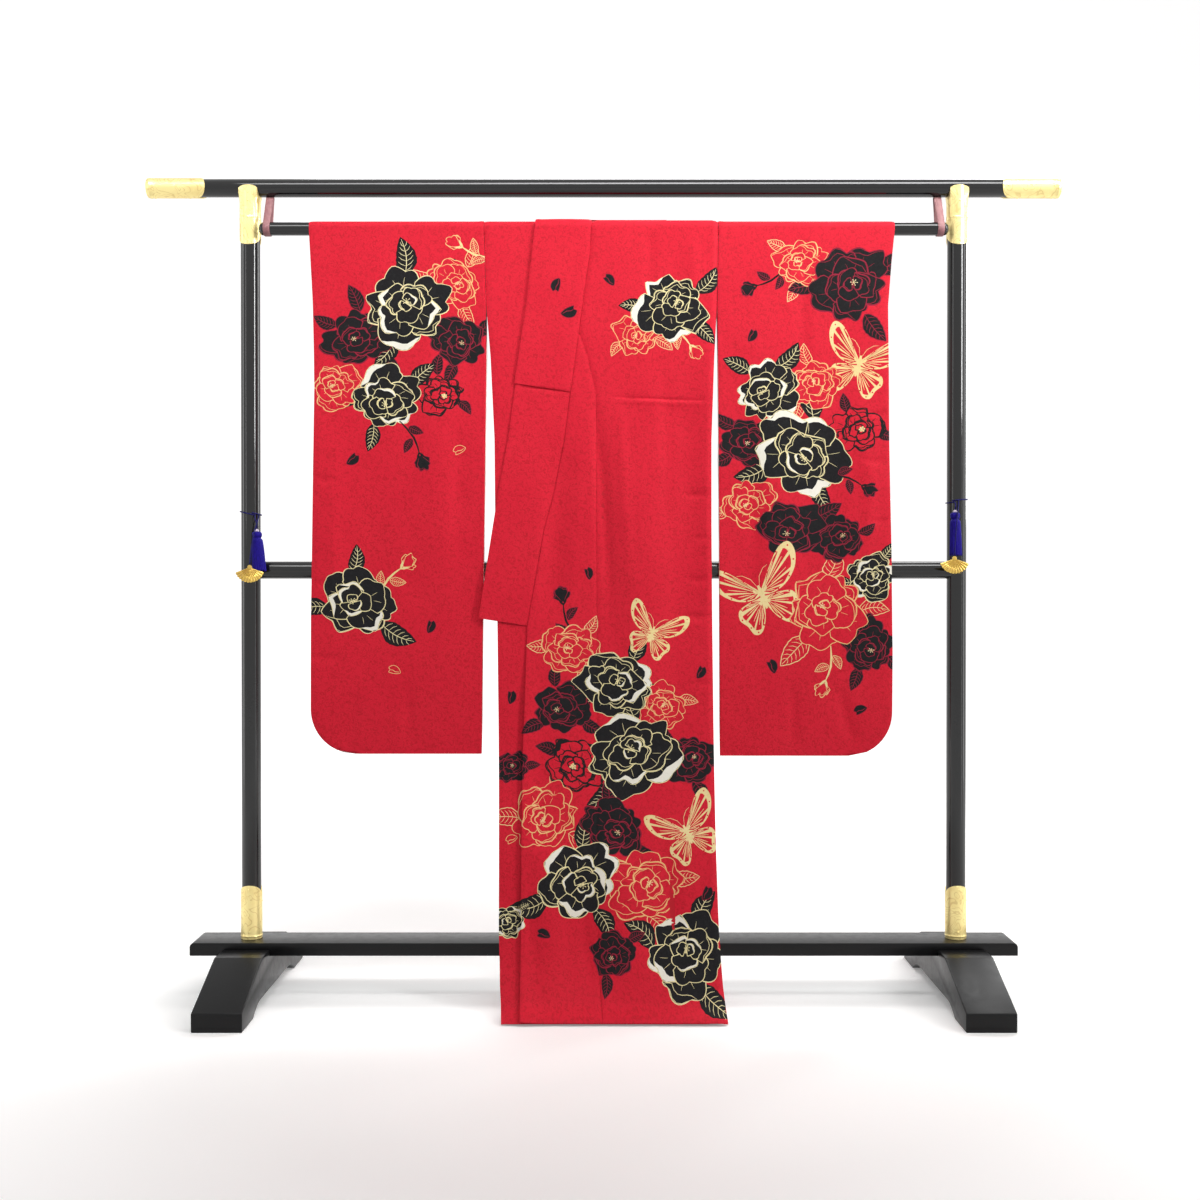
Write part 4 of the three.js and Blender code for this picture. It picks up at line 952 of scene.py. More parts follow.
def fan_of(reach, spread, s):
    return np.stack([reach * np.cos(spread * s), reach * np.sin(spread * s)], 1)


def paint_flower_petal(long, spread, look, line, level, chance):
    """One petal, pointing along X: an outline, its fill, a turned-over lip and a few veins."""
    shape = (chance.uniform(-0.10, 0.10), chance.uniform(0.07, 0.17), chance.uniform(0, 6),
             chance.uniform(-0.30, 0.30))

    def petal_loop(back, narrower):
        s = np.linspace(-1, 1, 23)
        root = [(0.06 * long + back, 0.05 * long), (0.06 * long + back, -0.05 * long)]
        lip = fan_of(petal_edge(long, s, shape) - back, spread - narrower, s)
        return np.concatenate([lip, root])

    shapes = [(petal_loop(0.0, 0.0), look["line"]),
              (petal_loop(line, line / (0.7 * long)), look["fill"])]
    way = chance.choice((-1, 1))
    s = np.linspace(-0.30, 0.97, 9) * way
    lip = petal_edge(long, s, shape) - line
    deep = long * chance.uniform(0.10, 0.20) * np.sin(np.pi * np.linspace(0, 1, 9)) ** 0.8
    curl = np.concatenate([fan_of(lip, spread * 0.97, s), fan_of(lip - deep, spread * 0.97, s)[-2:0:-1]])
    curl = curl[::way]
    chosen = chance.random()
    if look["curl"] is not None and chosen < 0.42:
        shapes.append((curl, look["curl"]))
    elif chosen < 0.75:
        shapes += [(curl, look["line"]), (inset(curl, line * 0.8), look["fill"])]
    if level < 2:
        for at in (-0.5, -0.22, 0.12, 0.4)[chance.randint(0, 1)::2]:
            a = at + chance.uniform(-0.08, 0.08)
            rib = [(long * r * math.cos(spread * a * r), long * r * math.sin(spread * a * r))
                   for r in (0.52, 0.60, 0.68, 0.76)]
            shapes.append((stroke(rib, line * 0.6), look["line"]))
    return shapes


def paint_flower(x, h, size, turn, look, chance):
    """A full blossom: rings of wide petals that lap over each other round a swirl of small ones."""
    line = (0.0006 + 0.0105 * size) * look["bold"]
    lean, squash = chance.uniform(-0.6, 0.6), chance.uniform(0.82, 0.94)
    off = np.array([math.cos(turn), math.sin(turn)]) * size
    shapes = []
    for level, (reach, petals, spread) in enumerate(
            ((1.00, 5, 0.80), (0.72, 4, 0.98), (0.46, 3, 1.18), (0.24, 2, 1.42))):
        first = turn + level * 0.7 + chance.uniform(-0.25, 0.25)
        for k in range(petals):
            angle = first + 2 * math.pi * k / petals + chance.uniform(-0.12, 0.12)
            long = size * reach * chance.uniform(0.84, 1.12)
            petal = paint_flower_petal(long, spread, look, line, level, chance)
            shapes += put(petal, angle, *(off * 0.045 * level))
    for k in range(6):
        a = turn + k * 1.05
        tip = np.array([math.cos(a), math.sin(a)]) * size * chance.uniform(0.05, 0.10) + off * 0.18
        shapes.append((stroke([off * 0.18, off * 0.09 + tip / 2, tip], line * 0.7), look["heart"]))
        shapes.append((round_dot(7) * line * 0.8 + tip, look["heart"]))
    return put([(points * (1, squash), dye) for points, dye in shapes], lean, x, h)


def paint_leaf(x, h, long, turn, look, chance):
    """A pointed leaf with a toothed edge: a midrib and slanting veins between two bowed sides."""
    bend = chance.uniform(-0.16, 0.16)
    u = np.linspace(0, 1, 17)
    middle = np.stack([u * long, bend * long * np.sin(np.pi * u)], 1)
    teeth = 1 + 0.10 * ((u * 6) % 1 - 0.5) * (u > 0.15) * (u < 0.9)
    half = 0.27 * long * np.sin(np.pi * u ** 0.80) ** 0.85 * teeth
    to_side = np.stack([0 * u, half], 1)
    loop = np.concatenate([middle - to_side, (middle + to_side)[-2:0:-1]])
    line = 0.0008 + 0.010 * long
    shapes = [(loop, look["fill"])]
    if look in (STRAW, COAL):
        shapes = [(loop, look["line"]), (inset(loop, line), look["fill"])]
    shapes.append((stroke(middle[:-1], line), look["line"]))
    for at in (0.14, 0.26, 0.38, 0.50, 0.62, 0.74):
        base = np.array([np.interp(at, u, middle[:, 0]), np.interp(at, u, middle[:, 1])])
        wide = np.interp(at + 0.12, u, half) * 0.74
        for side in (-1, 1):
            tip = base + (0.13 * long, side * wide)
            bow = (base + tip) / 2 + (-0.01 * long, side * 0.02 * long)
            shapes.append((stroke([base, bow, tip], line * 0.75), look["line"]))
    return put(shapes, turn, x, h)


def paint_bud(x, h, size, turn, look, chance):
    """A closed bud on a curved stalk, with two small leaves."""
    leaf, line = look["leaf"], 0.0008 + 0.012 * size
    stem = leaf["fill"] if leaf["fill"] != RED else leaf["line"]
    stalk = np.array([(-2.6, -0.5), (-1.9, -0.2), (-1.2, 0.02), (-0.6, 0.05), (0.0, 0.0)]) * size
    shapes = [(stroke(stalk, size * 0.15), stem)]
    for at, spread, long in ((0.42, 0.55, 0.95), (-0.42, 0.55, 0.92), (0.0, 0.60, 1.15)):
        shapes += put(paint_flower_petal(size * long, spread, look, line, 3, chance), at, 0, 0)
    for side in (-1, 1):
        cup = np.array([(-0.20, 0.0), (0.02, 0.20), (0.42, 0.36), (0.12, 0.04)]) * (size, size * side)
        shapes.append((cup[::-side], stem))
    placed = put(shapes, turn, x, h)
    for at, side in ((-2.0, 1), (-1.2, -1)):
        base = turned([(at * size, -0.1 * size)], turn)[0] + (x, h)
        placed += paint_leaf(*base, size * 1.15, turn + side * 0.85, leaf, chance)
    return placed


def paint_petal(x, h, size, turn, look, chance):
    """A fallen petal, cupped at one side, with its turned edge drawn as a line."""
    loop = smooth_path([(-0.52, 0.02), (-0.22, -0.30), (0.22, -0.34), (0.50, -0.06), (0.36, 0.10),
                        (0.40, 0.30), (0.02, 0.30), (-0.34, 0.20)], 4, closed=True) * size
    edge = np.array([(-0.40, 0.02), (-0.12, 0.10), (0.14, 0.04), (0.34, 0.09)]) * size
    return put([(loop, look["line"]), (inset(loop, 0.0008 + 0.012 * size), look["fill"]),
                (stroke(edge, 0.0015), look["line"])], turn, x, h)


FORE_WING = [(0.03, -0.04), (0.30, -0.08), (0.62, 0.02), (0.90, 0.26), (1.04, 0.58), (0.98, 0.84),
             (0.72, 0.80), (0.42, 0.52), (0.16, 0.22), (0.03, 0.06)]
HIND_WING = [(0.03, -0.30), (0.16, -0.62), (0.34, -0.82), (0.52, -0.80), (0.60, -0.58), (0.72, -0.40),
             (0.66, -0.20), (0.42, -0.12), (0.14, -0.10), (0.03, -0.10)]


def paint_wing(outline, base, size, line, look):
    """A wing in the line's dye, with cells of the fill left between its veins, and rim spots."""
    loop, base = smooth_path(outline, 4, closed=True) * size, np.array(base) * size
    shapes = [(loop, look["line"])]
    stops = np.linspace(0.08, 0.80, 7) * len(loop)
    for a, b in zip(stops[:-1], stops[1:]):
        rim = loop[[int(v) % len(loop) for v in np.linspace(a + 0.6, b - 0.6, 4)]] - base
        middle = rim[1:3].mean(0)
        cell = np.concatenate([base + rim * 0.86, base + rim[[-1, 0]] * 0.12])
        shapes.append((inset(cell, line * 0.12), look["fill"]))
        vein = [base + middle * share for share in (0.26, 0.52, 0.52 * 1.35)]
        shapes.append((stroke(vein, line * 0.9), look["line"]))
        shapes.append((round_dot(8) * size * 0.020 + base + middle * 0.93, look["fill"]))
    return shapes


def paint_butterfly(x, h, size, turn, look, chance):
    """A butterfly with open wings of one dye, its slim body and two feelers."""
    line = 0.0009 + 0.010 * size
    right = (paint_wing(HIND_WING, (0.06, -0.18), size, line, look)
             + paint_wing(FORE_WING, (0.05, 0.02), size, line, look))
    left = [((points * (-0.9, 1))[::-1], dye) for points, dye in right]
    body = np.array([(0, -0.36), (0.01, -0.15), (0.01, 0.02), (0, 0.18)]) * size
    shapes = left + right + [(stroke(body, size * 0.11), look["line"])]
    for side in (1, -1):
        feeler = np.array([(0.02, 0.14), (0.10, 0.36), (0.24, 0.50), (0.36, 0.54)]) * (side, 1) * size
        shapes.append((stroke(feeler, line * 0.6), look["line"]))
    return put(shapes, turn, x, h)


PAINTERS = {"flower": paint_flower, "bud": paint_bud, "petal": paint_petal,
            "butterfly": paint_butterfly}


def within(loop, points):
    """Which points are inside a closed shape; a part of it that is wound backwards is outside."""
    a, b = loop, np.roll(loop, -1, 0)
    across, up = points[:, :1], points[:, 1:]
    side = (b[:, 0] - a[:, 0]) * (up - a[:, 1]) - (across - a[:, 0]) * (b[:, 1] - a[:, 1])
    rising = (a[:, 1] <= up) & (b[:, 1] > up) & (side > 0)
    falling = (a[:, 1] > up) & (b[:, 1] <= up) & (side < 0)
    return rising.sum(1) > falling.sum(1)


def uncovered(shapes):
    """The shapes with the edges of each that no later shape covers."""
    starts = np.concatenate([points for points, _ in shapes])
    ends = np.concatenate([np.roll(points, -1, 0) for points, _ in shapes])
    middles = (starts + ends) / 2
    counts = [len(points) for points, _ in shapes]
    owner = np.repeat(np.arange(len(shapes)), counts)
    shown = np.ones(len(owner), bool)
    for i, (loop, _) in enumerate(shapes):
        if len(loop) < 11:  # a stroke or a cell covers too little
            continue
        low, high = loop.min(0), loop.max(0)
        near = np.flatnonzero(shown & (owner < i) & (middles > low).all(1) & (middles < high).all(1))
        if len(near):
            hidden = (within(loop, middles[near]) & within(loop, starts[near])
                      & within(loop, ends[near]))
            shown[near[hidden]] = False
    parts = np.split(shown, np.cumsum(counts)[:-1])
    return [(points, dye, part) for (points, dye), part in zip(shapes, parts)]


def paint(rows, seed):
    """The shapes of a design, from the first laid to the last. Each row: what, then how far across,
    how high and how large in millimetres, turn in degrees, colours. Leaves are tucked under each
    flower, round its edge."""
    chance = random.Random(seed)
    under, over = [], []
    for kind, *measures, degrees, look in rows:
        x, h, size = (measure / 1000 for measure in measures)
        turn = math.radians(degrees)
        over += PAINTERS[kind](x, h, size, turn, look, chance)
        if kind != "flower":
            continue
        for k in range(3 if size > 0.058 else 2):
            a = turn + 2.4 * k + chance.uniform(-0.35, 0.35)
            root, long = size * 0.72, size * chance.uniform(0.72, 0.98)
            under += paint_leaf(x + root * math.cos(a), h + root * math.sin(a), long,
                                a + chance.uniform(-0.5, 0.5), look["leaf"], chance)
    return under + over


# --------------------------------------------------------------------------------------------------
# How the cloth hangs. Each piece is drawn flat: across, and up from the front hem, over the rod and
# down to the back hem. These curves carry a flat point to its place in the air, as the lined crepe
# falls from the rod, slopes forward near the floor and closes at its side seams.
# --------------------------------------------------------------------------------------------------

CLOTH = 0.0012  # the lined crepe
PLY = 0.0024  # from one layer of the fronts to the next
LAID_ON = 0.0004  # clearance under a piece that lies on another
HEM = 0.003
CUFF, ARMHOLE, SIDE_OPENING, OVERLAP_TIP = 1.344, 1.400, 1.270, 1.344
OVER_ROD = math.pi * ROD_RADIUS  # length of the run over the rod
CROWN = ROD_Z + OVER_ROD / 2  # the flat height of the fold's top
BACK_FLOOR = 2 * ROD_Z + OVER_ROD  # the flat height at which the back would meet the floor
BACK_END = BACK_FLOOR - HEM


def table(*rows):
    """A table given in millimetres, with its lowest row first."""
    return np.array(rows[::-1]) / 1000.0


BODY_HANG = table(  # height, the front's depth, the back's
    (1559, -35.25, -8.75), (1300, -36, -15), (1000, -37.5, -22.5), (867, -39, -24.5),
    (700, -42, -28), (500, -52, -35), (315, -82, -59), (122, -125, -97), (35, -170, -139),
    (3, -212, -178))
SLEEVE_HANG = table(
    (1559, -35.25, -8.75), (1400, -35, -15), (1200, -34.5, -19), (1000, -34, -21),
    (700, -32.5, -21.5), (490, -31, -21.5))
BODY_SIDES = table(  # height, right, left
    (1574, -242.5, 232), (1400, -237.5, 229), (1297, -229, 223.5), (1130, -221, 218),
    (960, -219.5, 218), (754, -215, 219.5), (493, -211.5, 222), (315, -209, 223.5),
    (159, -207, 226.5), (60, -202, 231), (3, -195.5, 236))
FRONT_CUT = table(  # height, the collar's seam and its free edge, in from a front's own side
    (1574, 256.5, 370), (1506, 258.8, 376.8), (1394, 272.7, 386.2), (1297, 280.5, 394.5),
    (1226, 288.3, 401.8), (1130, 297, 412), (1013, 321, 433), (947, 339, 443), (856, 355.3, 457.3),
    (754, 374, 472.5), (493, 385, 385), (159, 389.5, 389.5), (3, 396, 396))
OVERLAP_SEAM = table(
    (1344, 274.7), (1297, 256), (1226, 237), (1130, 232), (754, 233), (3, 239))
SLEEVE_EDGES = {  # height, inner, outer
    "right": table(
        (1574, -242.5, -597), (1400, -237.5, -588), (1300, -236.8, -586), (1231, -237.6, -585.7),
        (1008, -240.5, -589.5), (765, -244.5, -593.5), (494, -247.2, -594.9)),
    "left": table(
        (1574, 232, 590), (1490, 230.55, 581.7), (1400, 229, 574.8), (1281, 230.7, 576.6),
        (1130, 232, 577.6), (917, 233.6, 582.7), (704, 234.6, 585.7), (490, 235.4, 584.7)),
}
SLEEVE_FOOT = {"right": (0.494, 0.091), "left": (0.490, 0.087)}  # bottom and round corner


def line_through(rows, column, height):
    return np.interp(height, rows[:, 0], rows[:, column])


def curve_through(rows, column, height):
    """A column of a table at any height, along a smooth curve through its rows."""
    at, value, last = rows[:, 0], rows[:, column], len(rows) - 1
    held = np.clip(height, at[0], at[-1])
    i = np.clip(np.searchsorted(at, held, side="right") - 1, 0, last - 1)
    before, after = np.maximum(i - 1, 0), np.minimum(i + 2, last)
    span = at[i + 1] - at[i]
    start = (value[i + 1] - value[before]) / (at[i + 1] - at[before]) * span
    end = (value[after] - value[i]) / (at[after] - at[i]) * span
    t = (held - at[i]) / span
    return ((2 * t ** 3 - 3 * t ** 2 + 1) * value[i] + (t ** 3 - 2 * t ** 2 + t) * start
            + (3 * t ** 2 - 2 * t ** 3) * value[i + 1] + (t ** 3 - t ** 2) * end)


def right_side(h):
    return line_through(BODY_SIDES, 1, h)


def left_side(h):
    return line_through(BODY_SIDES, 2, h)


def middle(h):
    return (right_side(h) + left_side(h)) / 2


def creases(*rows):
    """Narrow creases given in millimetres: the path of each, across and up, its reach and rise."""
    return [(np.array(path) / 1000, reach / 1000, rise / 1000) for path, reach, rise in rows]


# wide folds in millimetres: where the top and the foot of each are across, its top's and its
# foot's height, how far it reaches to a side, and how far it rises or sinks
BODY_FOLDS = (
    (-82, -112, 1150, 700, 46, -6.1), (60, 92, 1180, 420, 75, 6.8),
    (168, 176, 1330, 640, 60, -5.7), (30, 58, 330, 20, 80, 9.2),
    (-120, -112, 380, 20, 60, 7.4))
BACK_FOLDS = (
    (-170, -160, 1420, 900, 55, -4.6), (-60, -20, 1400, 820, 50, 5),
    (70, 40, 1420, 760, 50, -4.4), (160, 176, 1400, 860, 55, 4.6),
    (-160, -150, 560, 10, 60, 6.2), (20, 40, 600, 10, 60, -5.8),
    (-96, -78, 800, 130, 80, 5.4), (104, 122, 820, 200, 75, 4.7))
SLEEVE_FOLDS = {
    "right": ((-350, -322, 1480, 700, 70, 4.7),
              (-480, -500, 1250, 560, 85, -4.1)),
    "left": ((330, 352, 1440, 620, 75, 4.1),
             (470, 448, 1500, 820, 70, -4.1)),
}
BODY_CREASES = creases(
    # the long soft trough below the over-collar's end, and the one beside it
    (((-16, 1205), (-4, 1060), (6, 900), (12, 775)), 13, -5.6),
    (((34, 1190), (40, 1020), (52, 830)), 12, 2.7),
    (((118, 1300), (128, 1120), (121, 930)), 16, -2.5),
    # the sewn tuck across the waist
    (((12, 1216), (80, 1213), (150, 1210.5), (214, 1209)), 3, -1.5),
    (((12, 1208.5), (80, 1205.5), (150, 1203), (214, 1201.5)), 5.4, 1.1),
    (((-170, 1236), (-120, 1232), (-66, 1226)), 3, -1.2),
    # puckers along the left side seam
    (((218, 1020), (190, 1017), (160, 1019)), 7.4, -2),
    (((218, 934), (198, 930), (182, 931)), 6.1, -1.2),
    (((219, 848), (192, 845), (166, 848)), 7.4, -1.9),
    (((219, 776), (195, 771), (152, 774)), 8.1, -2.2),
    (((220, 640), (200, 637), (180, 640)), 6.8, -1.2),
    (((221, 512), (196, 506), (170, 509)), 9.5, -1.6),
    # near the hem
    (((-150, 300), (-145, 180), (-132, 60)), 14, -3.6),
    (((120, 360), (132, 220), (150, 70)), 18, -4.2),
    (((-40, 240), (-36, 140), (-20, 30)), 15, -3.4),
    # at the shoulder
    (((90, 1556), (96, 1500), (88, 1430)), 13, -2),
    (((176, 1556), (180, 1480), (186, 1400)), 15, 2),
)
BACK_CREASES = creases(
    (((-150, 1500), (-142, 1300), (-146, 1100)), 16, -2.7),
    (((130, 1480), (138, 1250), (131, 1050)), 18, -2.9),
    (((-60, 980), (-52, 760), (-58, 560)), 15, 2.7),
    (((60, 900), (66, 700), (72, 480)), 14, -3.1),
    (((-218, 930), (-192, 926), (-166, 929)), 7.4, -1.6),
    (((-216, 700), (-190, 697), (-160, 701)), 8.1, -1.7),
    (((219, 820), (196, 816), (170, 820)), 7.4, -1.6),
    (((-140, 320), (-132, 200), (-138, 60)), 16, -3.8),
    (((150, 340), (156, 190), (162, 50)), 17, -3.6),
)
SLEEVE_CREASES = {
    "right": creases(
        (((-420, 1540), (-414, 1400), (-424, 1220)), 16, -2.7),
        (((-300, 1180), (-292, 1020), (-298, 820)), 18, -2.7),
        (((-545, 1120), (-550, 950), (-540, 780)), 16, 2.5),
        (((-590, 1235), (-562, 1231), (-540, 1233)), 6.8, -1.3),
        (((-591, 1052), (-560, 1047), (-536, 1050)), 8.1, -1.6),
        (((-593, 842), (-566, 838), (-545, 841)), 7.4, -1.3),
        (((-594, 690), (-562, 686), (-530, 690)), 8.8, -1.6),
        (((-400, 640), (-395, 570), (-402, 505)), 12, -2.7),
        (((-500, 620), (-510, 560), (-530, 512)), 13, -2.5),
    ),
    "left": creases(
        (((410, 1535), (402, 1380), (410, 1210)), 16, -2.7),
        (((300, 1120), (306, 960), (298, 800)), 17, -2.7),
        (((530, 1180), (540, 1000), (532, 840)), 16, 2.5),
        (((577, 1300), (552, 1296), (530, 1299)), 6.8, -1.5),
        (((578, 1186), (556, 1181), (538, 1184)), 6.1, -1.6),
        (((579, 1090), (549, 1086), (520, 1090)), 7.4, -1.7),
        (((581, 968), (556, 964), (536, 966)), 6.8, -1.5),
        (((583, 852), (550, 847), (524, 851)), 8.1, -1.7),
        (((585, 722), (560, 718), (542, 720)), 6.8, -1.3),
        (((380, 640), (386, 560), (380, 500)), 12, -2.7),
        (((480, 630), (492, 560), (512, 508)), 13, -2.5),
    ),
}


def fold_rise(folds, x, h):
    """Wide folds: each runs from top to foot, a soft ridge (+) or trough (-)."""
    rise = np.zeros(np.shape(x))
    for top_x, foot_x, top, foot, reach, high in np.array(folds) / 1000:
        along = (top - h) / (top - foot)
        across = (x - (top_x + (foot_x - top_x) * along)) / reach
        inside = (np.abs(across) < 1) & (along > 0) & (along < 1)
        fade = smooth(0, 0.3, along) * smooth(0, 0.3, 1 - along)
        rise = rise + inside * high * fade * np.cos(np.clip(across, -1, 1) * np.pi / 2) ** 2
    return rise


def crease_rise(rows, x, h):
    """Narrow creases: each follows a path and dies away at both its ends."""
    rise = np.zeros(np.shape(x))
    for path, reach, high in rows:
        steps = np.diff(path, axis=0)
        lengths = np.hypot(steps[:, 0], steps[:, 1])
        run, total = 0.0, lengths.sum()
        nearest, share = np.full(np.shape(x), 1e3), np.zeros(np.shape(x))
        for (ax, ah), (dx, dh), long in zip(path, steps, lengths):
            t = np.clip(((x - ax) * dx + (h - ah) * dh) / long ** 2, 0, 1)
            away = (x - ax - t * dx) ** 2 + (h - ah - t * dh) ** 2
            closer = away < nearest
            nearest = np.where(closer, away, nearest)
            share = np.where(closer, (run + t * long) / total, share)
            run += long
        fade = np.clip(np.sin(np.pi * share), 0, 1) ** 0.7
        rise = rise + high * np.exp(-nearest / reach ** 2) * fade
    return rise


def unevenness(x, h, phase):
    """The slow, small waves of crepe that hangs free."""
    return (0.00042 * np.sin(31 * x + 17 * h + phase) * np.sin(9 * h - 13 * x + 2 * phase)
            + 0.00030 * np.sin(58 * x - 23 * h + 3 * phase)
            + 0.00022 * np.sin(87 * x + 41 * h + 5 * phase) * np.sin(21 * h + phase))


FRONT, BACK = 1, 2  # the two falls, and their columns in a table of depths


def slope_at(curve, h, step=0.002):
    """How fast a curve given by height goes back with each step up."""
    return (curve(h + step) - curve(h - step)) / (2 * step)


class Hang:
    """How one garment part hangs: its front and back falls and what lifts or sinks them."""

    def __init__(self, rows, folds, back_folds, creased, back_creased, closeness, phase):
        self.rows, self.closeness, self.phase = rows, closeness, phase
        self.folds = {FRONT: folds, BACK: back_folds}
        self.creases = {FRONT: creased, BACK: back_creased}

    def depth(self, x, h, side):
        own = curve_through(self.rows, side, h)
        if side == FRONT:
            return own
        slope = slope_at(lambda at: curve_through(self.rows, FRONT, at), h)
        closed = self.closeness(x, h)
        front = curve_through(self.rows, FRONT, h) + (CLEAR + 0.0001) * np.hypot(1, slope)
        return own * (1 - closed) + front * closed

    def relief(self, x, h, side):
        waves = unevenness(x, h, self.phase + side) * smooth(0.0, 0.12, ROD_Z - h)
        return (fold_rise(self.folds[side], x, h) + waves
                + crease_rise(self.creases[side], x, h) * smooth(0.0, 0.02, ROD_Z - h))

    def fall(self, x, h, off, side):
        slope = slope_at(lambda at: self.depth(x, at, side), h)
        rise = self.relief(x, h, side)
        if side == BACK:  # where the two falls are sewn together they crease as one
            closed = self.closeness(x, h)
            rise = rise * (1 - closed) - self.relief(x, h, FRONT) * closed
        out = (off + rise) / np.hypot(1, slope) * (-1 if side == FRONT else 1)
        return np.stack([x, self.depth(x, h, side) + out, h - slope * out], -1)

    def place(self, x, t, off):
        """The point at x and flat height t that stands off the fall's own inner face."""
        turn = np.clip((t - ROD_Z) / ROD_RADIUS, 0, math.pi)
        reach = ROD_RADIUS + off
        over = np.stack([x, ROD_Y - np.cos(turn) * reach, ROD_Z + np.sin(turn) * reach], -1)
        front = self.fall(x, np.minimum(t, ROD_Z), off, FRONT)
        back = self.fall(x, np.minimum(BACK_FLOOR - t, ROD_Z), off, BACK)
        in_front, behind = (t <= ROD_Z)[:, None], (t >= ROD_Z + OVER_ROD)[:, None]
        return np.where(in_front, front, np.where(behind, back, over))


def height_of(t):
    """The true height on the fall at a flat height, held at the rod's middle over the fold."""
    return np.where(t > CROWN, np.minimum(BACK_FLOOR - t, ROD_Z), np.minimum(t, ROD_Z))


def body_closeness(x, h):
    from_side = np.minimum(x - right_side(h), left_side(h) - x)
    return (1 - smooth(SIDE_OPENING, ARMHOLE, h)) * (1 - smooth(0, 0.045, from_side))


BODY = Hang(BODY_HANG, BODY_FOLDS, BACK_FOLDS, BODY_CREASES, BACK_CREASES, body_closeness, 0.4)

GRID, GRID_OVER_ROD = 0.008, 0.0022  # spacing of the cloth's points away from its edges
BESIDE_EDGE = 0.006  # nearer to an edge, rows of its own follow it
NARROW = 0.0105  # a crease of less reach has points of its own
BULGE = 0.0005  # how far a folded edge rounds out between its two faces


def swell(away, at, reach, rise):
    """A rounded ridge that follows an edge at a distance from it, or a groove."""
    return rise * np.exp(-((away - at) / reach) ** 2)


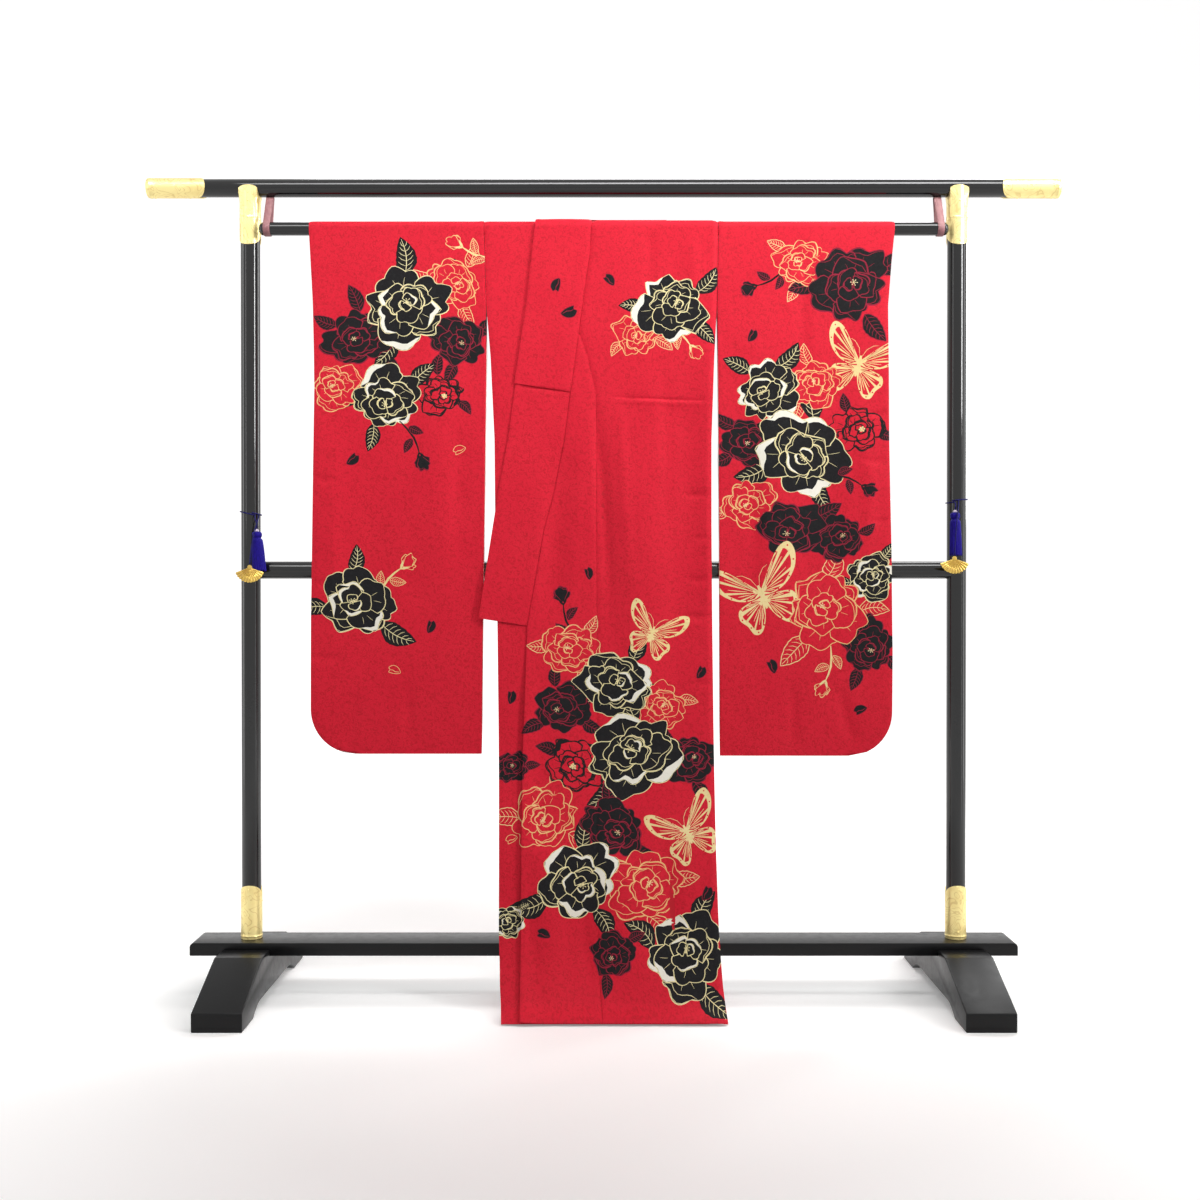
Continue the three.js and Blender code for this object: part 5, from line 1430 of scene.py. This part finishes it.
class Sheet:
    """One piece in the flat, between its two long edges and from foot to top, and how it lies."""

    def __init__(self, hang, first, last, foot, top, lift, foot_rise, seams, crown):
        self.hang, self.first, self.last, self.foot, self.top = hang, first, last, foot, top
        self.lift, self.foot_rise, self.seams, self.crown = lift, foot_rise, seams, crown
        levels = [foot]
        while levels[-1] < top - 1e-6:
            near_rod = abs(levels[-1] - CROWN) < OVER_ROD / 2 + 0.012
            levels.append(min(top, levels[-1] + (GRID_OVER_ROD if near_rod else GRID)))
        if len(levels) > 2 and levels[-1] - levels[-2] < 0.0012:
            levels.pop(-2)
        margin = CLEAR / 2 + BULGE
        self.levels = np.array(levels)
        self.low_x, self.high_x = first(self.levels) + margin, last(self.levels) - margin

    def row(self, end):
        """Points across at the foot, end 0, or at the top, end -1."""
        low, high = self.low_x[end], self.high_x[end]
        return np.linspace(low, high, max(4, int(round((high - low) / GRID))) + 1)

    def outline(self):
        inner = self.levels[1:-1]
        outline = [(x, self.foot + BULGE) for x in self.row(0)]
        outline += list(zip(self.high_x[1:-1], inner))
        outline += [(x, self.top - BULGE) for x in self.row(-1)[::-1]]
        return np.array(outline + list(zip(self.low_x[1:-1], inner))[::-1])

    def free_points(self):
        """Points all over the piece, with a few rows of their own along its edges and its foot."""
        free = []
        for t, a, b in zip(self.levels[1:-1], self.low_x[1:-1], self.high_x[1:-1]):
            if b - a < 0.004:
                continue
            count = max(1, int((b - a) / GRID))
            xs = a + (b - a) * (np.arange(count) + 0.5) / count
            edge = [d for d in (0.0011, 0.0026, 0.0046) if d < (b - a) / 3]
            xs = np.concatenate([[a + d for d in edge],
                                 xs[(xs > a + BESIDE_EDGE) & (xs < b - BESIDE_EDGE)],
                                 [b - d for d in edge]])
            free += [(x, t) for x in xs]
        for d in (0.0012, 0.0030):
            free += [(x, self.foot + BULGE + d) for x in self.row(0)[1:-1]]
        return free

    def crease_points(self):
        """Points along the narrow creases, which lie across the fall."""
        creased = []
        narrow = [(side, path, reach) for side, rows in self.hang.creases.items()
                  for path, reach, _ in rows if reach < NARROW]
        for side, path, reach in narrow:
            xs = np.linspace(path[0, 0], path[-1, 0], 2 + int(np.ptp(path[:, 0]) / 0.004))
            rising = path[np.argsort(path[:, 0])]
            for away in (-1.5, -0.8, 0.0, 0.8, 1.5):
                hs = np.interp(xs, rising[:, 0], rising[:, 1]) + away * reach
                ts = hs if side == FRONT else BACK_FLOOR - hs
                kept = ((xs > self.first(ts) + BESIDE_EDGE) & (xs < self.last(ts) - BESIDE_EDGE)
                        & (ts > self.foot + BESIDE_EDGE) & (ts < self.top - BESIDE_EDGE))
                creased += list(zip(xs[kept], ts[kept]))
        return creased

    def stand_off(self, x, t):
        """How far the inner face stands off, with its sunk seams, folded edges and rolled hems."""
        off = self.lift(x, t)
        from_first, from_last = np.abs(x - self.first(t)), np.abs(self.last(t) - x)
        for kind, away in zip(self.seams, (from_first, from_last)):
            if kind == "sewn":
                off = off + swell(away, 0, 0.0042, -0.0010)
            elif kind == "folded":
                off = off + swell(away, 0.005, 0.004, 0.0006)
        width = np.maximum(1e-6, from_first + from_last)
        off = off + self.crown * 4 * from_first * from_last / width ** 2
        if self.foot == HEM:
            off = off + swell(t, 0.007, 0.005, 0.0017) + swell(t, 0.021, 0.004, -0.0007)
        if self.top == BACK_END:
            off = off + swell(BACK_END - t, 0.005, 0.005, 0.0015)
        return off

    def face(self, flat, off):
        """Points of the flat in the air. The foot may slant: it is raised at the first edge."""
        x, t = flat.T
        across = (x - self.first(t)) / np.maximum(1e-6, self.last(t) - self.first(t))
        slant = self.foot_rise * (1 - across) * np.clip(1 - (t - self.foot) / 0.25, 0, 1)
        return self.hang.place(x, t + slant, self.stand_off(x, t) + off)

    def facing(self, flat, off, step=0.0006):
        """The way that the outer face looks at points of the flat."""
        across, up = (self.face(flat + move, off) - self.face(flat - move, off)
                      for move in ((step, 0), (0, step)))
        return unit(np.cross(across, up))

    def cut_out(self, outline, shapes, spots):
        """The outer face as triangles, with each dyed edge that shows cut into it."""
        corners = [Vector(p) for p in outline]
        cuts = [(i, (i + 1) % len(outline)) for i in range(len(outline))]
        for points, _, shown in shapes:
            number = {}
            for i in np.flatnonzero(shown):
                for j in (i, (i + 1) % len(points)):
                    if j not in number:
                        number[j] = len(corners)
                        corners.append(Vector(points[j]))
                cuts.append((number[i], number[(i + 1) % len(points)]))
        corners += [Vector(p) for p in spots]
        found, _, made, *_ = delaunay_2d_cdt(corners, cuts, [], 0, 2e-5, False)
        found, made = np.array([tuple(v) for v in found]), np.array([tuple(f) for f in made])
        x, t = found[made].mean(1).T
        levels = np.concatenate([[self.foot + BULGE], self.levels[1:-1], [self.top - BULGE]])
        made = made[(x > np.interp(t, levels, self.low_x)) & (x < np.interp(t, levels, self.high_x))
                    & (t > levels[0]) & (t < levels[-1])]
        (ax, ay), (bx, by), (cx, cy) = (found[made[:, i]].T for i in range(3))
        backwards = (bx - ax) * (cy - ay) - (by - ay) * (cx - ax) < 0
        made[backwards] = made[backwards][:, ::-1]
        numbers, made = np.unique(made, return_inverse=True)
        return found[numbers], made.reshape(-1, 3)


def dye_triangles(centres, shapes, ground):
    """The dye of each triangle, which is that of the last shape laid over its centre."""
    upwards = np.argsort(centres[:, 1])
    rows = centres[upwards, 1]
    dyes = np.full(len(centres), ground)
    for points, dye, _ in shapes:
        low, high = points.min(0), points.max(0)
        near = upwards[np.searchsorted(rows, low[1]):np.searchsorted(rows, high[1])]
        near = near[(centres[near, 0] > low[0]) & (centres[near, 0] < high[0])]
        dyes[near[within(points, centres[near])]] = dye
    return dyes.tolist()


def rim_of(triangles):
    """The loop of corners round the triangles, and which triangle is at each of its sides."""
    owner = {(tri[i], tri[(i + 1) % 3]): k for k, tri in enumerate(triangles) for i in range(3)}
    onward = {a: b for a, b in owner if (b, a) not in owner}
    rim = [next(iter(onward))]
    while onward[rim[-1]] != rim[0]:
        rim.append(onward[rim[-1]])
    return rim, [owner[(a, onward[a])] for a in rim]


def fill_rim(rim, spots):
    """Triangles inside a loop of the flat, through a few points of their own."""
    corners = [Vector(p) for p in rim] + [Vector(p) for p in spots]
    found, _, made, _, _, loops = delaunay_2d_cdt(corners, [], [list(range(len(rim)))], 0, 1e-7, True)
    return np.array([tuple(v) for v in found]), [tri for tri, origin in zip(made, loops) if 0 in origin]


def sew(name, points, faces, normals, flat, dyes, slot):
    """The cloth's mesh: each face in its dye, with the flat kept for the weave to follow."""
    mesh = bpy.data.meshes.new(name)
    mesh.from_pydata(points.tolist(), [], faces)
    present = sorted(set(dyes))
    for dye in present:
        mesh.materials.append(DYES[dye])
    mesh.polygons.foreach_set("material_index", [present.index(dye) for dye in dyes])
    corner_of = np.zeros(len(mesh.loops), dtype=np.int64)
    mesh.loops.foreach_get("vertex_index", corner_of)
    layer = mesh.uv_layers.new(name="Flat")
    layer.data.foreach_set("uv", flat[corner_of].astype(np.float32).ravel())
    mesh.shade_smooth()
    mesh.normals_split_custom_set_from_vertices(normals.tolist())
    piece = bpy.data.objects.new(name, mesh)
    scene.collection.objects.link(piece)
    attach(piece, "root")
    return piece


def cloth_sheet(name, hang, first, last, foot, top, lift, shapes, inner_dye, slot="red_crepe",
                foot_rise=0.0, seams=("free", "free"), crown=0.0, ground=RED, thick=CLOTH):
    """
    A sheet of lined cloth as a thin closed shell. first and last give its two long edges at any
    flat height, from foot to top. The dyed shapes are cut into its outer face, the last one laid
    showing, and the inner face has one dye. A sewn edge sinks a little towards its seam.
    """
    sheet = Sheet(hang, first, last, foot, top, lift, foot_rise, seams, crown)
    outline = sheet.outline()
    low, high = outline.min(0) - 0.001, outline.max(0) + 0.001
    shapes = [shape for shape in shapes
              if (shape[0].max(0) > low).all() and (shape[0].min(0) < high).all()]
    free, creased = sheet.free_points(), sheet.crease_points()
    flat, outer = sheet.cut_out(outline, shapes, free + creased)
    dyes = dye_triangles(flat[outer].mean(1), shapes, ground)
    faces = outer.tolist()
    rim, rim_owners = rim_of(faces)
    edge = flat[rim]
    under, inner = fill_rim(edge, free[::3] + creased)
    rounded = edge - side_of(unit(np.roll(edge, -1, 0) - np.roll(edge, 1, 0))) * BULGE
    rim_points = sheet.face(rounded, thick / 2)

    points = np.concatenate([sheet.face(flat, thick), rim_points, sheet.face(under, 0.0)])
    normals = np.concatenate([sheet.facing(flat, thick),
                              unit(rim_points - sheet.face(edge, thick / 2)),
                              -sheet.facing(under, 0.0)])
    rim_start, inner_start = len(flat), len(flat) + len(rim)
    for i, owner in enumerate(rim_owners):
        j = (i + 1) % len(rim)
        faces.append((rim[j], rim[i], rim_start + i, rim_start + j))
        faces.append((rim_start + j, rim_start + i, inner_start + i, inner_start + j))
        dyes += [dyes[owner]] * 2
    faces += [tuple(inner_start + k for k in tri[::-1]) for tri in inner]
    dyes += [inner_dye] * len(inner)
    return sew(name, points, faces, normals, np.concatenate([flat, rounded, under]), dyes, slot)


# --------------------------------------------------------------------------------------------------
# The design over the body's front, with the fronts, the overlap panels and the collar. Two long
# widths of cloth go from the front hem over the shoulders to the back hem and are sewn down the
# middle of the back; a narrower overlap panel is sewn to each front, and the collar to all of them.
# --------------------------------------------------------------------------------------------------

FRONT_DESIGN = paint([
    # high on the left breast
    ("bud", 176, 1318, 26, 310, DAWN), ("flower", 70, 1345, 50, 200, DAWN),
    ("flower", 138, 1400, 76, 40, NIGHT), ("petal", 12, 1452, 28, 130, COAL),
    # from the front edge at the thigh, down across the knee to the hem
    ("bud", -82, 800, 30, 100, EMBER), ("butterfly", 98, 742, 62, -20, STRAW),
    ("flower", -66, 704, 60, 150, DAWN), ("flower", 112, 592, 52, 20, DAWN),
    ("flower", -84, 588, 62, 200, EMBER), ("flower", 20, 636, 80, 60, NIGHT),
    ("flower", 172, 486, 60, 10, EMBER), ("flower", -52, 474, 62, 230, DUSK),
    ("flower", 62, 496, 94, 100, NIGHT), ("petal", 196, 660, 28, 60, COAL),
    ("flower", 22, 352, 64, 320, EMBER), ("flower", -112, 372, 72, 180, DAWN),
    ("butterfly", 164, 345, 72, 26, STRAW), ("petal", 204, 226, 30, 60, COAL),
    ("flower", 78, 240, 78, 10, DAWN), ("flower", -54, 248, 86, 300, NIGHT),
    ("petal", -118, 150, 28, 160, COAL), ("flower", 156, 112, 82, 40, NIGHT),
    ("flower", 20, 112, 50, 250, EMBER), ("petal", -30, 860, 26, 100, COAL),
    # on the under front's strip
    ("petal", -186, 610, 28, 80, COAL), ("flower", -190, 470, 40, 15, EMBER),
    ("petal", -184, 330, 24, 200, DAWN), ("flower", -192, 170, 42, 70, NIGHT),
], seed=11)

COLLAR_DESIGN = uncovered(paint([
    ("petal", -96, 1440, 30, 250, COAL), ("petal", -70, 1385, 34, 20, COAL),
], seed=4))


def mirrored_to_back(rows, seed):
    """A design for the back, given by true height there and drawn in the flat beyond the fold."""
    return [((points * (1, -1) + (0, BACK_FLOOR))[::-1], dye) for points, dye in paint(rows, seed)]


BACK_DESIGN = mirrored_to_back([
    ("flower", -130, 1380, 80, 20, NIGHT), ("flower", -40, 1310, 58, 290, DAWN),
    ("flower", 60, 1390, 64, 10, EMBER), ("bud", 150, 1330, 28, 330, DUSK),
    ("petal", -160, 1190, 28, 130, COAL), ("butterfly", 110, 1170, 64, 20, STRAW),
    ("bud", -150, 810, 28, 100, EMBER), ("flower", -40, 690, 56, 30, DAWN),
    ("flower", -130, 650, 78, 150, NIGHT), ("flower", -160, 520, 60, 200, EMBER),
    ("flower", -20, 550, 74, 80, DAWN), ("flower", 95, 500, 84, 30, NIGHT),
    ("flower", -80, 420, 64, 250, DUSK), ("flower", 185, 410, 60, 0, DAWN),
    ("flower", 20, 350, 68, 300, EMBER), ("flower", -140, 290, 78, 190, NIGHT),
    ("flower", 140, 260, 80, 20, NIGHT), ("flower", -10, 200, 66, 270, DAWN),
    ("flower", 60, 110, 60, 300, EMBER), ("flower", -120, 110, 62, 210, DAWN),
    ("petal", 180, 110, 28, 120, COAL),
], seed=23)
WHOLE_BODY = uncovered(FRONT_DESIGN + BACK_DESIGN)


def front_edge(side, rows, column):
    """A line of a front, from how far in it lies from the front's own side."""
    if side == "left":
        return lambda h: left_side(h) - line_through(rows, column, h)
    return lambda h: right_side(h) + line_through(rows, column, h)


PLEAT = dict(lap=0.026, full=1.394, run_in=1.450, level=1.506, settle=(0.027, 0.050))


def pleat_edge(h):
    return middle(h) - PLEAT["lap"] * (1 - smooth(PLEAT["full"], PLEAT["run_in"], h))


def under_lift(x, t):
    return CLEAR + 0 * x


def over_under_front(x, h):
    """The rise from the side seam on to the under front."""
    return PLY * smooth(0, 0.012, left_side(h) - x)


def upper_lift(x, t):
    """Over the under front, and standing off it along its free edge below the collar."""
    h = height_of(t)
    from_edge = x - left_side(h) + line_through(FRONT_CUT, 1, h)
    stands_off = 0.0055 * (1 - smooth(0, 0.040, from_edge)) * (1 - smooth(0.56, 0.74, h))
    return CLEAR + over_under_front(x, h) + stands_off


def left_length_lift(x, t):
    """The left length: over the under front in front, laid in a pleat on the right one behind."""
    h = height_of(t)
    settled = np.where(t > CROWN, smooth(1.440, ROD_Z, h), 1.0)
    on_pleat = 1 - smooth(*PLEAT["settle"], x - middle(h))
    on_pleat = on_pleat * (1 - smooth(PLEAT["run_in"], PLEAT["level"], h)) * (t > CROWN)
    return CLEAR + over_under_front(x, h) * settled + (CLOTH + LAID_ON) * on_pleat


def length_edges(side):
    """The two long edges of a length: its side seam, and its front edge and centre-back seam."""
    seam = front_edge(side, FRONT_CUT, 1)
    overlap = front_edge(side, OVERLAP_SEAM, 1)

    def own(t):
        return left_side(height_of(t)) if side == "left" else right_side(height_of(t))

    def inner(t):
        h = height_of(t)
        in_front = np.where(h > OVERLAP_TIP, seam(h), overlap(h))
        behind = pleat_edge(h) if side == "left" else middle(h)
        over = np.clip((t - ROD_Z) / OVER_ROD, 0, 1)
        return in_front * (1 - over) + behind * over

    return (inner, own) if side == "left" else (own, inner)


def build_lengths():
    for side, lift in (("right", under_lift), ("left", left_length_lift)):
        length = cloth_sheet(f"body_length_{side}", BODY, *length_edges(side), HEM, BACK_END, lift,
                             WHOLE_BODY, FACING, seams=("sewn", "sewn"))
        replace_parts(length, f"front_{side}", f"shoulder_{side}", f"back_{side}")


def build_overlaps():
    for side, lift, way in (("right", under_lift, 1), ("left", upper_lift, -1)):
        edges = (front_edge(side, OVERLAP_SEAM, 1), front_edge(side, FRONT_CUT, 1))[::way]
        panel = cloth_sheet(f"overlap_panel_{side}", BODY, *edges, HEM, OVERLAP_TIP - 0.004, lift,
                            WHOLE_BODY, FACING, seams=("sewn", "folded")[::way])
        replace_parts(panel, f"overlap_{side}")


build_lengths()
build_overlaps()

# --------------------------------------------------------------------------------------------------
# The collar: a long folded band sewn to the fronts, the overlap panels and the neck. A second,
# shorter band lies over its upper half as the over-collar. The under front's collar is folded in,
# and behind, the band runs round the neck on the backs.
# --------------------------------------------------------------------------------------------------

COLLAR_END, OVER_COLLAR_END = (0.754, 0.769), (1.226, 1.243)  # at the seam and at the free edge
COLLAR_TOP = CROWN - CLEAR / 2
FOLDED_COLLAR = 0.046
SHOULDER = 1.574  # the true height at which the widths are read over the rod's fold


def over_fold(edge):
    """An edge given by true height, held over the rod's fold."""
    return lambda t: edge(np.minimum(t, SHOULDER))


def over_collar_lift(x, t):
    return upper_lift(x, t) + CLOTH + LAID_ON


def build_front_collars():
    edges = [over_fold(front_edge("left", FRONT_CUT, column)) for column in (2, 1)]
    for name, cad, (foot, free_foot), lift, crown in (
        ("collar_upper", "collar_left", COLLAR_END, upper_lift, 0.0003),
        ("collar_over", "over_collar", OVER_COLLAR_END, over_collar_lift, 0.0010),
    ):
        collar = cloth_sheet(name, BODY, *edges, foot, COLLAR_TOP, lift, COLLAR_DESIGN, FACING,
                             foot_rise=free_foot - foot, seams=("folded", "sewn"), crown=crown)
        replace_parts(collar, cad)

    seam = over_fold(front_edge("right", FRONT_CUT, 1))
    under = cloth_sheet("collar_under", BODY, seam, lambda t: seam(t) + FOLDED_COLLAR, COLLAR_END[0],
                        COLLAR_TOP, under_lift, [], FACING, seams=("sewn", "folded"))
    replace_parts(under, "collar_right")


class NeckHang:
    """Hangs a level strip as the neck band, from the fold's top to an edge curved round the neck."""

    creases = {}
    start = front_edge("left", FRONT_CUT, 2)(SHOULDER)
    centre = middle(SHOULDER)
    end = 2 * centre - start
    top = CROWN + CLEAR / 2
    low_h, ends_h = 1.512, ROD_Z - 0.006  # the lower edge at the middle of the back and at its ends
    foot = BACK_FLOOR - low_h

    def place(self, x, t, off):
        across = np.minimum(1, np.abs(x - self.centre) / (self.centre - self.start))
        edge_h = self.low_h + (self.ends_h - self.low_h) * (1 - np.sqrt(1 - across ** 4))
        share = (t - self.top) / (self.foot - self.top)
        return BODY.place(x, self.top + (BACK_FLOOR - edge_h - self.top) * share, off)


def build_neck_band():
    hang = NeckHang()

    def lift(x, t):
        return CLEAR + PLY * smooth(1.440, ROD_Z, height_of(t)) + CLOTH + LAID_ON

    band = cloth_sheet("collar_neck_band", hang, lambda t: hang.start + 0 * t,
                       lambda t: hang.end + 0 * t, hang.top, hang.foot, lift, [], FACING)
    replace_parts(band, "collar_neck")


build_front_collars()
build_neck_band()

# --------------------------------------------------------------------------------------------------
# The two long sleeves: each is one width of cloth folded over at the top, sewn to the body above
# the armhole, closed below the cuff and along its foot with a round outer corner, and open along
# its inner edge, where the white silk lining shows as a thin line.
# --------------------------------------------------------------------------------------------------

SLEEVE_DESIGN = {
    "right": paint([
        ("bud", -288, 1520, 28, 150, DAWN), ("flower", -304, 1446, 60, 30, DAWN),
        ("flower", -492, 1336, 72, 170, EMBER), ("flower", -296, 1330, 60, 0, EMBER),
        ("flower", -396, 1396, 88, 100, NIGHT), ("flower", -540, 1238, 56, 200, DAWN),
        ("flower", -330, 1222, 52, 330, DUSK), ("flower", -438, 1212, 78, 250, NIGHT),
        ("bud", -372, 1100, 30, 290, EMBER), ("petal", -508, 1090, 30, 40, COAL),
        ("petal", -292, 1110, 26, 200, DAWN), ("bud", -408, 872, 30, 40, DAWN),
        ("flower", -496, 800, 84, 190, NIGHT), ("petal", -350, 752, 28, 70, COAL),
        ("petal", -424, 664, 26, 160, DAWN),
    ], seed=5),
    "left": paint([
        ("bud", 306, 1440, 28, 200, EMBER), ("flower", 398, 1486, 56, 130, DAWN),
        ("flower", 496, 1436, 84, 20, EMBER), ("petal", 300, 1340, 28, 60, COAL),
        ("butterfly", 516, 1286, 80, -16, STRAW), ("flower", 424, 1240, 56, 80, DAWN),
        ("flower", 300, 1126, 60, 200, EMBER), ("flower", 512, 1150, 54, 0, DUSK),
        ("flower", 330, 1226, 72, 150, NIGHT), ("flower", 402, 1106, 92, 300, NIGHT),
        ("bud", 524, 1036, 28, 330, EMBER), ("flower", 296, 1000, 58, 190, DAWN),
        ("flower", 476, 930, 56, 20, EMBER), ("flower", 376, 950, 74, 240, EMBER),
        ("butterfly", 318, 820, 92, 22, STRAW), ("flower", 542, 850, 56, 60, NIGHT),
        ("flower", 534, 712, 62, 340, EMBER), ("flower", 450, 784, 86, 100, DAWN),
        ("petal", 342, 672, 30, 110, COAL), ("bud", 448, 640, 28, 250, DAWN),
        ("petal", 520, 584, 28, 200, COAL),
    ], seed=8),
}


def sleeve_back_design(side):
    """The back of a sleeve carries like flowers, fewer and lower down."""
    sign = -1 if side == "right" else 1
    rows = [
        ("flower", 450, 1270, 58, 70, DAWN), ("flower", 360, 1350, 78, 130, NIGHT),
        ("petal", 330, 1200, 28, 60, COAL), ("bud", 520, 1180, 28, 120, EMBER),
        ("flower", 380, 970, 62, 190, EMBER), ("flower", 490, 995, 82, 45, NIGHT),
        ("flower", 510, 860, 60, 330, DAWN), ("butterfly", 340, 820, 70, 20, STRAW),
        ("flower", 420, 760, 70, 250, EMBER), ("flower", 340, 660, 64, 200, DAWN),
        ("petal", 480, 620, 28, 140, COAL),
    ]
    placed = [(kind, sign * x, h + 20 * sign, size, turn if sign > 0 else 180 - turn, look)
              for kind, x, h, size, turn, look in rows]
    return mirrored_to_back(placed, 31 + sign)


class SleeveCut:
    """A sleeve's two edges by true height, and where its falls are sewn to each other."""

    def __init__(self, side):
        self.rows = SLEEVE_EDGES[side]
        self.bottom, self.corner = SLEEVE_FOOT[side]
        self.inward = 1 if side == "right" else -1

    def inner(self, h):
        return line_through(self.rows, 1, h)

    def outer(self, h):
        into = np.clip(self.bottom + self.corner - h, 0, self.corner)
        rounded = self.corner - np.sqrt(self.corner ** 2 - into ** 2)
        return line_through(self.rows, 2, h) + self.inward * rounded

    def closeness(self, x, h):
        sewn = 1 - smooth(CUFF, ARMHOLE, h)
        at_edge = sewn * (1 - smooth(0, 0.045, np.abs(x - self.outer(h))))
        return np.maximum(at_edge, 1 - smooth(0, 0.070, h - self.bottom))


def build_sleeve(side, phase):
    cut, way, creased = SleeveCut(side), 1 if side == "right" else -1, SLEEVE_CREASES[side]
    behind = [(path - (0, 0.05), reach, -rise) for path, reach, rise in creased[:3]]
    hang = Hang(SLEEVE_HANG, SLEEVE_FOLDS[side], (), creased, behind, cut.closeness, phase)
    edges = (lambda t: cut.outer(height_of(t)), lambda t: cut.inner(height_of(t)))[::way]
    design = uncovered(SLEEVE_DESIGN[side] + sleeve_back_design(side))
    sleeve = cloth_sheet(f"sleeve_of_{side}_side", hang, *edges, cut.bottom, BACK_FLOOR - cut.bottom,
                         under_lift, design, LINING, seams=("sewn", "folded")[::way])
    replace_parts(sleeve, f"sleeve_{side}_front", f"cuff_{side}_front", f"sleeve_{side}_top",
                f"cuff_{side}_back", f"sleeve_{side}_back")

    showing, hidden, low, high = 0.002, 0.018, 0.870, 1.330

    def tucked(t):
        return cut.inner(t) - cut.inward * hidden

    def shown(t):
        """The lining creeps out unevenly past the edge."""
        out = showing * (0.75 + 0.25 * np.sin(19 * t) + 0.15 * np.sin(47 * t + 1))
        return cut.inner(t) + cut.inward * out * smooth(0, 0.06, t - low) * smooth(0, 0.06, high - t)

    lining = cloth_sheet(f"sleeve_lining_{side}", hang, *(tucked, shown)[::way], low, high,
                         lambda x, t: CLEAR - LAID_ON - 0.001 + 0 * x, [], LINING, "white_lining",
                         ground=LINING, thick=0.001)
    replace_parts(lining, f"sleeve_{side}_lining")


build_sleeve("right", 2.2)
build_sleeve("left", 3.7)
